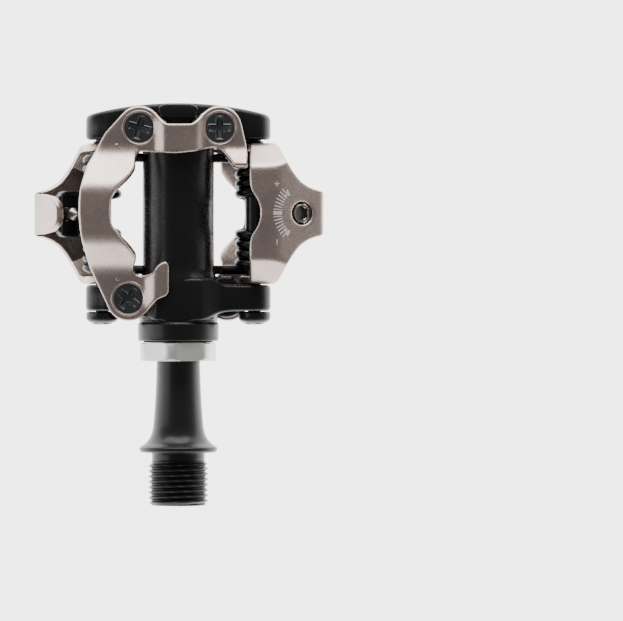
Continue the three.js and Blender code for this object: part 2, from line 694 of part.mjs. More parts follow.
function upperClaw() {
  const shell = cut(clawLid(0, -8), clawLid(PLATE, -10));
  const pressed = shell.intersect(alongZ(clawPlan(), -10, 30)).intersect(alongY(clawSideView(), 30, 90, 10));
  const pinHole = shifted(rod(BUSH_RADIUS + GAP, 20, 90, 24), PIN_X, 0, 0);
  const screwHole = onTensionAxis(rod(TENSION_HEAD_RADIUS + 0.45, -20, 6, 20));
  return cut(join(pressed, clawHook()), pinHole, screwHole);
}

function tensionScrew() {
  const shape = turned(
    [
      [0, -TENSION_SCREW_LENGTH],
      [TENSION_SCREW_RADIUS, -TENSION_SCREW_LENGTH + 1.6],
      [TENSION_SCREW_RADIUS, -PLATE - 0.6],
      [TENSION_HEAD_RADIUS, -PLATE - 0.6],
      [TENSION_HEAD_RADIUS, -0.4],
      [0, -0.4],
    ],
    16,
  );
  return onTensionAxis(cut(shape, hexBar(3, -2.2, 2)));
}

function tensionBlock() {
  const { width, depth, thickness, below } = BLOCK;
  const slab = new THREE.BoxGeometry(depth, thickness, width).translate(-0.4, -below - thickness / 2, 0);
  return onTensionAxis(cut(solid(slab), rod(TENSION_SCREW_RADIUS + GAP / 2, -20, 2, 16)));
}

// ---- pivot and spring ---------------------------------------------------------------------------

function pivotPin() {
  const headTop = INBOARD_WING.start - GAP / 2;
  const shape = turned(
    [
      [0, headTop - PIN_HEAD_HEIGHT],
      [PIN_HEAD_RADIUS * 0.5, headTop - PIN_HEAD_HEIGHT + 0.25],
      [PIN_HEAD_RADIUS * 0.85, headTop - PIN_HEAD_HEIGHT + 0.9],
      [PIN_HEAD_RADIUS, headTop - 1.4],
      [PIN_HEAD_RADIUS * 0.92, headTop],
      [PIN_RADIUS, headTop],
      [PIN_RADIUS, OUTBOARD_WING.end - 0.6],
      [0, OUTBOARD_WING.end - 0.6],
    ],
    20,
  );
  const recess = shifted(crossRecess(2, 0.9, 1.8), 0, headTop - PIN_HEAD_HEIGHT, 0);
  return shifted(cut(shape, recess), PIN_X, 0, 0);
}

function springBush() {
  const made = ring(BUSH_RADIUS, PIN_RADIUS + GAP / 2, INBOARD_WING.end + GAP, OUTBOARD_WING.start - GAP, 20);
  return shifted(made, PIN_X, 0, 0);
}

// One coil with its end leg and its half of the bridge: the coil's length runs from the bridge side outwards.
class SpringLine extends THREE.Curve {
  constructor(side) {
    super();
    this.side = side;
    const start = CLAW_MIDDLE + side * (SPRING_COIL_GAP / 2 + SPRING_WIRE_RADIUS);
    this.start = start;
    this.pitch = (springLegY(side) - start) / SPRING_TURNS;
  }
  // t from 0 to 1 is the coil; it begins at the far side of the pin and ends on top, where the leg leaves.
  getPoint(t, target = new THREE.Vector3()) {
    const turns = t * SPRING_TURNS;
    const angle = -turns * 2 * Math.PI;
    const x = PIN_X + SPRING_COIL_RADIUS * Math.cos(angle);
    const z = -SPRING_COIL_RADIUS * Math.sin(angle);
    return target.set(x, this.start + this.pitch * turns, -z);
  }
}

function springWire() {
  const steps = 10;
  const points = [];
  const coil = new SpringLine(1);
  const other = new SpringLine(-1);
  const count = Math.round(steps * SPRING_TURNS);
  const legEnd = BARREL_RADIUS + GAP;
  const legHeight = -SPRING_COIL_RADIUS;
  points.push(new THREE.Vector3(legEnd, springLegY(-1), legHeight));
  for (let i = count; i >= 0; i--) points.push(other.getPoint(i / count));
  const bridge = onBridge();
  points.push(new THREE.Vector3(bridge.x, other.start + 0.4, bridge.z));
  points.push(new THREE.Vector3(bridge.x, coil.start - 0.4, bridge.z));
  for (let i = 0; i <= count; i++) points.push(coil.getPoint(i / count));
  points.push(new THREE.Vector3(legEnd, springLegY(1), legHeight));
  return points;
}

// The bridge lies against the underside of the tension block, beside the screw.
function onBridge() {
  const drop = BLOCK.below + BLOCK.thickness + SPRING_WIRE_RADIUS + GAP;
  const beside = TENSION_SCREW_RADIUS + SPRING_WIRE_RADIUS + GAP;
  return {
    x: TENSION_SCREW_X - drop * Math.sin(CLAW_SLOPE) - beside * Math.cos(CLAW_SLOPE),
    z: TENSION_SCREW_TOP - drop * Math.cos(CLAW_SLOPE) + beside * Math.sin(CLAW_SLOPE),
  };
}

// A wire swept through points: one square section at each point, joined to the next, with flat ends.
function sweptWire(points, radius, sides) {
  const positions = [];
  const index = [];
  let across = null;
  points.forEach((point, i) => {
    const before = points[Math.max(i - 1, 0)];
    const after = points[Math.min(i + 1, points.length - 1)];
    const tangent = new THREE.Vector3().subVectors(after, before).normalize();
    if (!across) across = new THREE.Vector3(0, 1, 0);
    across = across.clone().addScaledVector(tangent, -across.dot(tangent)).normalize();
    const up = new THREE.Vector3().crossVectors(tangent, across);
    for (let k = 0; k < sides; k++) {
      const angle = (k / sides) * 2 * Math.PI;
      const place = point
        .clone()
        .addScaledVector(across, radius * Math.cos(angle))
        .addScaledVector(up, radius * Math.sin(angle));
      positions.push(place.x, place.y, place.z);
    }
  });
  const last = points.length - 1;
  for (let i = 0; i < last; i++) {
    for (let k = 0; k < sides; k++) {
      const a = i * sides + k;
      const b = i * sides + ((k + 1) % sides);
      index.push(a, b, a + sides, b, b + sides, a + sides);
    }
  }
  for (let k = 1; k < sides - 1; k++) {
    index.push(0, k + 1, k, last * sides, last * sides + k, last * sides + k + 1);
  }
  const geometry = new THREE.BufferGeometry();
  geometry.setAttribute("position", new THREE.Float32BufferAttribute(positions, 3));
  geometry.setIndex(index);
  return solid(geometry);
}

const tensionSpring = () => sweptWire(springWire(), SPRING_WIRE_RADIUS, 6);

// ---- assembly -----------------------------------------------------------------------------------

function faceMechanism(face) {
  const group = new THREE.Group();
  group.add(mesh(`${face}_hoop`, upperHoop(), STEEL_PLATE));
  const turns = [15, 0, 38];
  SCREW_PLACES.forEach((place, i) =>
    group.add(mesh(`${face}_hoop_screw_${i + 1}`, hoopScrew(place, turns[i]), BLACK_STEEL)),
  );
  group.add(mesh(`${face}_claw`, upperClaw(), STEEL_PLATE));
  group.add(mesh(`${face}_tension_screw`, tensionScrew(), BRIGHT_STEEL));
  group.add(mesh(`${face}_tension_block`, tensionBlock(), BLACK_STEEL));
  group.add(mesh(`${face}_pivot_pin`, pivotPin(), BLACK_STEEL));
  group.add(mesh(`${face}_spring_bush`, springBush(), BLACK_STEEL));
  group.add(mesh(`${face}_spring`, tensionSpring(), BLACK_STEEL));
  if (face === "lower") group.rotation.y = Math.PI;
  return group;
}

const pedal = new THREE.Group();
pedal.add(mesh("spindle", spindle(), BLACK_STEEL));
pedal.add(mesh("bearing_cone", bearingCone(), BRIGHT_STEEL));
pedal.add(mesh("keyed_washer", keyedWasher(), BRIGHT_STEEL));
pedal.add(mesh("cone_locknut", coneLocknut(), BRIGHT_STEEL));
TRACK_YS.forEach((y, i) =>
  pedal.add(mesh(`${["inboard", "outboard"][i]}_ball_row`, ballRow(y), BRIGHT_STEEL)),
);
pedal.add(mesh("bearing_sleeve", bearingSleeve(), BRIGHT_STEEL));
pedal.add(mesh("lock_nut", lockNut(), ALUMINIUM));
pedal.add(mesh("spindle_seal", spindleSeal(), RUBBER));
pedal.add(mesh("collar_o_ring", collarORing(), RUBBER));
pedal.add(mesh("inboard_bush", inboardBush(), BRONZE));
pedal.add(mesh("body_casting", bodyCasting(), BLACK_PAINT));
pedal.add(faceMechanism("upper"));
pedal.add(faceMechanism("lower"));

export default pedal;
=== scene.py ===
"""The looks of a two-sided clipless bicycle pedal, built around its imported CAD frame.

Everything is in metres in the part's own frame: +Y runs along the spindle away from the crank, +Z leaves the
upper face, and +X points to the upper face's sprung claw. Each surface is a function of two parameters that is
worked out with numpy on a grid. The lower face's pieces are the upper face's after half a turn about Y.
"""

import logging
import math
from collections.abc import Callable, Sequence
from dataclasses import dataclass
from enum import Enum

import bpy
import numpy as np
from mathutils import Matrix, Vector
from mathutils.geometry import delaunay_2d_cdt


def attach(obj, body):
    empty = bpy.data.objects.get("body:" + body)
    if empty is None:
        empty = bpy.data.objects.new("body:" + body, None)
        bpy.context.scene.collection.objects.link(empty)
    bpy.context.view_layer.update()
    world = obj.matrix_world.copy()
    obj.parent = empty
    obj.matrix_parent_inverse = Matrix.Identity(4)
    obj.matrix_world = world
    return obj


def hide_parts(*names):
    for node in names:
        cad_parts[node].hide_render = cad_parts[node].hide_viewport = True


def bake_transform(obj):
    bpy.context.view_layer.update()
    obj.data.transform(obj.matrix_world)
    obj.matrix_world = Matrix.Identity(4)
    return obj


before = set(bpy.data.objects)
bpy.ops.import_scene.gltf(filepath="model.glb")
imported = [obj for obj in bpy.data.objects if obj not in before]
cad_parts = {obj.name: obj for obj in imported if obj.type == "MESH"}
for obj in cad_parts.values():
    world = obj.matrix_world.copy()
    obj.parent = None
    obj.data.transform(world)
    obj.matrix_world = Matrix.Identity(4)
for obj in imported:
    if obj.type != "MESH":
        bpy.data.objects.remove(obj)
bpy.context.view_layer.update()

MM = 0.001
NEAR = 0.02  # half the reach of a central difference, in millimetres
LOG = logging.getLogger("pedal")
Array = np.ndarray
Surface = Callable[[Array, Array], Array]


class Face(Enum):
    """The two faces of the pedal that take a cleat, with the sign of their half turn about Y."""

    UPPER = 1
    LOWER = -1

    @property
    def prefix(self) -> str:
        """The start of the names of this face's CAD nodes and bodies."""
        return self.name.lower()


# ---- finishes -----------------------------------------------------------------------------------


def linear(hex_colour: str) -> tuple[float, float, float, float]:
    """Turns an sRGB hex colour into linear RGBA.

    Each channel c is c / 12.92 below 0.04045 and ((c + 0.055) / 1.055) ^ 2.4 above it.

    Args:
        hex_colour: six hex digits, with or without a leading #.

    Returns:
        Linear red, green, blue and an alpha of 1.
    """
    digits = hex_colour.lstrip("#")
    srgb = np.array([int(digits[i : i + 2], 16) for i in (0, 2, 4)]) / 255
    channels = np.where(srgb <= 0.04045, srgb / 12.92, ((srgb + 0.055) / 1.055) ** 2.4)
    return (*map(float, channels), 1.0)


def add_node(
    tree: bpy.types.NodeTree,
    kind: str,
    settings: dict[str, object] | None = None,
    inputs: dict[str | int, object] | None = None,
) -> bpy.types.Node:
    """Adds a shader node with its settings, and sets or links its inputs.

    Args:
        tree: the material's node tree.
        kind: the node's type name, such as ShaderNodeTexNoise.
        settings: attributes of the node itself.
        inputs: for each input, a value or the output socket to link to it.

    Returns:
        The new node.
    """
    node = tree.nodes.new(kind)
    for name, value in (settings or {}).items():
        setattr(node, name, value)
    for name, value in (inputs or {}).items():
        if isinstance(value, bpy.types.NodeSocket):
            tree.links.new(value, node.inputs[name])
        else:
            node.inputs[name].default_value = value
    return node


class Pattern(Enum):
    """How a finish's tool marks or grain lie on the piece."""

    GRAIN = "even grain"  # blasted, cast or plated surfaces
    TURNED = "rings about Y"  # marks of a lathe


@dataclass(frozen=True)
class Finish:
    """A surface finish: what it is made of, how it was made, and its grain at the real size.

    Args:
        name: the material's name.
        colour: sRGB hex colour of the bulk.
        shade: sRGB hex colour that the bulk drifts towards in slow patches.
        metallic: 1 for bare metal, 0 for paint and rubber.
        roughness: mean roughness.
        spread: how far the roughness wanders either way.
        grain_mm: size of one grain or tool mark.
        relief_mm: height of the grain.
        pattern: how the grain lies.
        patch_mm: size of the slow patches of colour and roughness.
        specular: strength of the mirror reflection of a finish that isn't metal.
    """

    name: str
    colour: str
    shade: str
    metallic: float
    roughness: float
    spread: float
    grain_mm: float
    relief_mm: float
    pattern: Pattern = Pattern.GRAIN
    patch_mm: float = 6.0
    specular: float = 0.5

    def make(self) -> bpy.types.Material:
        """Builds the node material, or returns it if it is already there.

        Colour mixes colour and shade by a slow noise; roughness is its mean plus the spread times a noise of
        grain size; the bump follows the grain. Turned marks squeeze the noise along the mark.
        """
        done = bpy.data.materials.get(self.name)
        if done:
            return done
        made = bpy.data.materials.new(self.name)
        made.use_nodes = True
        tree = made.node_tree
        tree.nodes.clear()
        place = add_node(tree, "ShaderNodeTexCoord").outputs["Object"]
        patch = add_node(
            tree,
            "ShaderNodeTexNoise",
            {"noise_dimensions": "3D"},
            {"Vector": place, "Scale": 1 / (self.patch_mm * MM), "Detail": 3.0, "Roughness": 0.55},
        )
        grain = self._grain(tree, place)
        tint = add_node(
            tree,
            "ShaderNodeMix",
            {"data_type": "RGBA"},
            {
                0: self._spread(tree, patch.outputs["Fac"], 0.3, 0.7, 0, 1),
                6: linear(self.colour),
                7: linear(self.shade),
            },
        )
        low, high = self.roughness - self.spread, self.roughness + self.spread
        rough = self._spread(tree, grain, 0.3, 0.7, low, high)
        bump = add_node(
            tree, "ShaderNodeBump", None, {"Height": grain, "Strength": 1.0, "Distance": self.relief_mm * MM}
        )
        shader = add_node(
            tree,
            "ShaderNodeBsdfPrincipled",
            None,
            {
                "Base Color": tint.outputs[2],
                "Metallic": self.metallic,
                "Roughness": rough,
                "Normal": bump.outputs["Normal"],
                "Specular IOR Level": self.specular,
            },
        )
        add_node(tree, "ShaderNodeOutputMaterial", None, {"Surface": shader.outputs["BSDF"]})
        return made

    def _grain(self, tree: bpy.types.NodeTree, place: bpy.types.NodeSocket) -> bpy.types.NodeSocket:
        """The grain's height: a noise of grain size, stretched along the tool's path where there is one."""
        per_metre = 1 / (self.grain_mm * MM)
        if self.pattern is Pattern.TURNED:
            stretch = (0.02 * per_metre, per_metre, 0.02 * per_metre)
        else:
            stretch = (per_metre, per_metre, per_metre)
        scaled = add_node(tree, "ShaderNodeMapping", None, {"Vector": place, "Scale": stretch})
        noise = add_node(
            tree,
            "ShaderNodeTexNoise",
            None,
            {"Vector": scaled.outputs[0], "Scale": 1.0, "Detail": 2.0, "Roughness": 0.5},
        )
        return noise.outputs["Fac"]

    @staticmethod
    def _spread(
        tree: bpy.types.NodeTree, fac: bpy.types.NodeSocket, low: float, high: float, to_low: float, to_high: float
    ) -> bpy.types.NodeSocket:
        """Stretches a noise's middle range low..high over to_low..to_high."""
        node = add_node(
            tree,
            "ShaderNodeMapRange",
            None,
            {"Value": fac, "From Min": low, "From Max": high, "To Min": to_low, "To Max": to_high},
        )
        return node.outputs["Result"]


# Pressed steel, tumbled and plated with dark nickel: satin, warm grey, with a fine sparkle on its flats.
PLATED = Finish("pressed_steel_warm_nickel_plate", "bcaba4", "a99891", 1.0, 0.34, 0.08, 0.3, 0.014, patch_mm=9)
# Aluminium casting under gloss black powder coat: deep black with a wet highlight and faint orange peel.
BLACK_CASTING = Finish(
    "cast_aluminium_gloss_black", "131314", "171718", 0.0, 0.29, 0.05, 0.9, 0.003, specular=0.22
)
# Forged chrome-molybdenum steel, turned and blackened: satin charcoal with rings from the lathe.
BLACK_SPINDLE = Finish(
    "turned_steel_black_oxide", "1b1b1c", "202021", 0.25, 0.33, 0.06, 0.12, 0.002, Pattern.TURNED, patch_mm=12,
    specular=0.3
)
# Hard-drawn spring wire, black oxide: dark and oily, with a narrow highlight along each coil.
SPRING_WIRE = Finish("drawn_wire_black_oxide", "1a1b1c", "242526", 0.75, 0.34, 0.08, 0.16, 0.004)
# Machined screws in black oxide: dark satin, with bright lips round their recesses.
BLACK_SCREW = Finish("machined_steel_black_oxide", "4a4b4c", "555657", 0.9, 0.31, 0.08, 0.18, 0.003)
# Pins, bushes and blocks in heavier black oxide: darker than the screws.
BLACK_PIN = Finish("ground_pin_black_oxide", "1f2021", "282929", 0.5, 0.32, 0.08, 0.16, 0.003)
# Machined tension screw under zinc plate: grey silver, satin, lighter than all the black round it.
ZINC = Finish("machined_steel_zinc_plate", "8f8d86", "7d7b75", 1.0, 0.3, 0.06, 0.12, 0.003)
# Machined aluminium, clear anodised: bright satin with turning lines.
ALUMINIUM = Finish(
    "milled_aluminium_satin_nickel", "d6d5d0", "cbcac5", 1.0, 0.5, 0.06, 0.1, 0.003, Pattern.TURNED, patch_mm=10
)
# Ground and polished steel of the bearing: bright, with sharp reflections.
BRIGHT = Finish("ground_bright_steel", "c9cacc", "b9bbbe", 1.0, 0.2, 0.05, 0.1, 0.002, Pattern.TURNED)
# Nitrile rubber, moulded: matt black.
RUBBER = Finish("moulded_nitrile_rubber", "0e0e0e", "141414", 0.0, 0.72, 0.08, 0.4, 0.01)
# Sintered bronze bush, oily.
BRONZE = Finish("sintered_bronze", "9a7040", "8a6238", 1.0, 0.42, 0.08, 0.2, 0.006)
# Pale fill of the tension dial's marks: matt enamel, which reads against the satin plate.
MARK_FILL = Finish("pale_enamel_fill", "d2cac6", "c8bfbb", 0.1, 0.5, 0.05, 0.3, 0.002)


# ---- meshes -------------------------------------------------------------------------------------


def mesh_object(
    name: str, points: Array, faces: Sequence, finish: Finish, smooth_angle: float
) -> bpy.types.Object:
    """Makes an object at the origin from points and faces, facing outwards, smooth below an angle.

    Args:
        name: the object's name.
        points: N by 3 places in metres.
        faces: tuples or an array of point indices, wound so that they face outwards.
        finish: its material.
        smooth_angle: edges sharper than this stay sharp, in degrees.

    Returns:
        The new object.
    """
    mesh = bpy.data.meshes.new(name)
    mesh.from_pydata(points.tolist(), [], [tuple(map(int, f)) for f in faces])
    mesh.validate()
    if signed_volume(points, faces) < 0:
        mesh.flip_normals()
    mesh.materials.append(finish.make())
    mesh.shade_smooth()
    mesh.set_sharp_from_angle(angle=math.radians(smooth_angle))
    made = bpy.data.objects.new(name, mesh)
    bpy.context.collection.objects.link(made)
    return made


def signed_volume(points: Array, faces: Sequence) -> float:
    """The volume inside a closed shell, negative if it is inside out: a sixth of the sum of a . (b x c)."""
    fans = np.array([(f[0], f[i], f[i + 1]) for f in faces for i in range(1, len(f) - 1)])
    a, b, c = np.asarray(points)[fans].transpose(1, 0, 2)
    return float(np.einsum("ij,ij->i", a, np.cross(b, c)).sum() / 6)


def join_parts(parts: Sequence[tuple[Array, list]]) -> tuple[Array, list]:
    """Stacks separate closed shells, each turned to face outwards, into one list of points and faces."""
    points, faces, start = [], [], 0
    for own_points, own_faces in parts:
        step = -1 if signed_volume(own_points, own_faces) < 0 else 1
        points.append(own_points)
        faces += [tuple(int(i) + start for i in f[::step]) for f in own_faces]
        start += len(own_points)
    return np.concatenate(points), faces


def on_face(shell: tuple[Array, Sequence], face: Face) -> tuple[Array, Sequence]:
    """Places the upper face's shell on a face: x and z of its points change sign on the lower one."""
    points, faces = shell
    return points * np.array([face.value, 1, face.value]), faces


def once_round(count: int) -> Array:
    """Evenly spaced angles over one turn, in radians."""
    return np.linspace(0, 2 * np.pi, count, endpoint=False)


def grid_faces(rows: int, columns: int, closed: bool) -> Array:
    """Quads between the rows of a grid of points; a closed grid joins its last column to its first."""
    i, j = np.meshgrid(np.arange(rows - 1), np.arange(columns if closed else columns - 1), indexing="ij")
    k = (j + 1) % columns
    quads = np.stack([i * columns + j, i * columns + k, (i + 1) * columns + k, (i + 1) * columns + j], axis=-1)
    return quads.reshape(-1, 4)


def turned_shell(rings: Array) -> tuple[Array, list]:
    """Closes a grid of rings about Y into a shell: each ring is a row, and its two ends are fans to a middle point.

    Args:
        rings: rows by columns by 3 points; the first and last ring are closed over by a fan.

    Returns:
        Points and faces.
    """
    rows, columns, _ = rings.shape
    first, last = rings[0].mean(axis=0), rings[-1].mean(axis=0)
    points = np.concatenate([rings.reshape(-1, 3), [first, last]])
    a = np.arange(columns)
    b = (a + 1) % columns
    tip, tail = rows * columns, rows * columns + 1
    end = (rows - 1) * columns
    fans = [*zip(b, a, np.full(columns, tip)), *zip(end + a, end + b, np.full(columns, tail))]
    return points, [*map(tuple, grid_faces(rows, columns, True)), *fans]


def tube_shell(rings: Array) -> tuple[Array, Array]:
    """Closes a grid of rings both ways, as on a torus, into points in metres and faces."""
    count, columns, _ = rings.shape
    return rings.reshape(-1, 3) * MM, grid_faces(count + 1, columns, True) % (count * columns)


def rings_about_y(radius: Array, y: Array) -> Array:
    """Points at radius(row, column) and height y(row, column) about the Y axis, the columns going once round."""
    angle = once_round(radius.shape[1])
    y = np.broadcast_to(y, radius.shape)
    return np.stack([radius * np.cos(angle), y, radius * np.sin(angle)], axis=-1)


def rounded_profile(corners: Sequence[tuple[float, float, float]], steps: int = 4) -> Array:
    """A line of (radius, y) through corners, each rounded by its own fillet.

    Each corner is replaced by a quadratic curve that leaves the incoming side and joins the outgoing side at the
    fillet's distance from the corner.

    Args:
        corners: (radius, y, fillet) in millimetres.
        steps: points on each fillet.

    Returns:
        N by 2 points in millimetres.
    """
    places = np.array([c[:2] for c in corners], dtype=float)
    line = [places[:1]]
    t = np.linspace(0, 1, steps)[:, None]
    for before, here, after, (_, _, fillet) in zip(places, places[1:], places[2:], corners[1:-1]):
        back, ahead = before - here, after - here
        reach = min(fillet, 0.49 * np.hypot(*back), 0.49 * np.hypot(*ahead))
        if reach <= 0:
            line.append(here[None])
            continue
        start = here + back / np.hypot(*back) * reach
        end = here + ahead / np.hypot(*ahead) * reach
        line.append((1 - t) ** 2 * start + 2 * t * (1 - t) * here + t**2 * end)
    return np.concatenate([*line, places[-1:]])


def hexagon(angle: Array, across_flats: float, turn: float = 0.0) -> Array:
    """Radius of a hexagon at an angle: half its width over the cosine of the angle from the nearest flat."""
    sector = np.mod(angle - turn + np.pi / 6, np.pi / 3) - np.pi / 6
    return across_flats / 2 / np.cos(sector)


def smooth_min(a: Array, b: Array, k: float) -> Array:
    """The lesser of a and b, less h^2 k / 4 with h = max(k - |a - b|, 0) / k, which rounds it where they are close."""
    h = np.maximum(k - np.abs(a - b), 0) / k
    return np.minimum(a, b) - h * h * k / 4


def smooth_steps(x: Array, knots: Sequence[tuple[float, float]], softness: float | Array) -> Array:
    """A broken line through knots, averaged over a window of the given width, as a press bends a plate."""
    xs, ys = np.array(knots).T
    window = np.linspace(-0.5, 0.5, 9) * np.asarray(softness)[..., None]
    return np.interp(x[..., None] + window, xs, ys).mean(axis=-1)


def eased(loop: Array) -> Array:
    """Averages each point of a closed loop with its neighbours, with weights 1 2 1."""
    return (np.roll(loop, 1, axis=0) + 2 * loop + np.roll(loop, -1, axis=0)) / 4


def smooth_loop(points: Sequence[tuple[float, float]], spacing: float, passes: int = 2) -> Array:
    """A closed outline resampled at even spacing and eased at its corners.

    Args:
        points: the outline's corners, in millimetres.
        spacing: distance between the points returned.
        passes: how often the loop is eased.

    Returns:
        N by 2 points, counter-clockwise.
    """
    places = np.array(points, dtype=float)
    area = np.sum(places[:, 0] * np.roll(places[:, 1], -1) - np.roll(places[:, 0], -1) * places[:, 1])
    if area < 0:
        places = places[::-1]
    closed = np.vstack([places, places[:1]])
    along = np.concatenate([[0], np.cumsum(np.hypot(*np.diff(closed, axis=0).T))])
    count = max(12, round(along[-1] / spacing))
    wanted = np.linspace(0, along[-1], count, endpoint=False)
    loop = np.stack([np.interp(wanted, along, closed[:, i]) for i in (0, 1)], axis=-1)
    for _ in range(passes):
        loop = eased(loop)
    return loop


def arc(cx: float, cy: float, radius: float, start: float, end: float, count: int = 10) -> list[tuple[float, float]]:
    """Points on an arc about (cx, cy), angles in degrees."""
    angle = np.radians(np.linspace(start, end, count))
    return [*zip(cx + radius * np.cos(angle), cy + radius * np.sin(angle))]


def inside(points: Array, loop: Array) -> Array:
    """Which points lie inside a closed loop: those from which a ray crosses it an odd number of times."""
    x, y = points[:, :1], points[:, 1:]
    ax, ay = loop.T
    bx, by = np.roll(loop, -1, axis=0).T
    spans = (ay > y) != (by > y)
    with np.errstate(divide="ignore", invalid="ignore"):
        crosses = x < ax + (y - ay) * (bx - ax) / (by - ay)
    return (spans & crosses).sum(axis=1) % 2 == 1


def outward(loop: Array, sign: float) -> Array:
    """Unit normals of a counter-clockwise loop in its plane, pointing out of it (sign 1) or into it (sign -1)."""
    along = np.roll(loop, -1, axis=0) - np.roll(loop, 1, axis=0)
    normal = np.stack([along[:, 1], -along[:, 0]], axis=-1)
    return sign * normal / np.linalg.norm(normal, axis=1, keepdims=True)


def drawn_in(loop: Array, distance: float, sign: float) -> Array:
    """Moves a loop inwards in four short steps, easing it after each so that tight corners don't cross."""
    for _ in range(4):
        loop = eased(loop - distance / 4 * outward(loop, sign))
    return loop


def level(height: float) -> Surface:
    """A flat surface at a height, in millimetres."""
    return lambda u, v: np.stack([u, v, np.full_like(u, height)], axis=-1)


def surface_normals(surface: Surface, u: Array, v: Array) -> tuple[Array, Array, Array]:
    """A surface's unit normals, and its rates along each parameter, by central differences."""
    du = (surface(u + NEAR, v) - surface(u - NEAR, v)) / (2 * NEAR)
    dv = (surface(u, v + NEAR) - surface(u, v - NEAR)) / (2 * NEAR)
    normal = np.cross(du, dv)
    return normal / np.linalg.norm(normal, axis=1, keepdims=True), du, dv


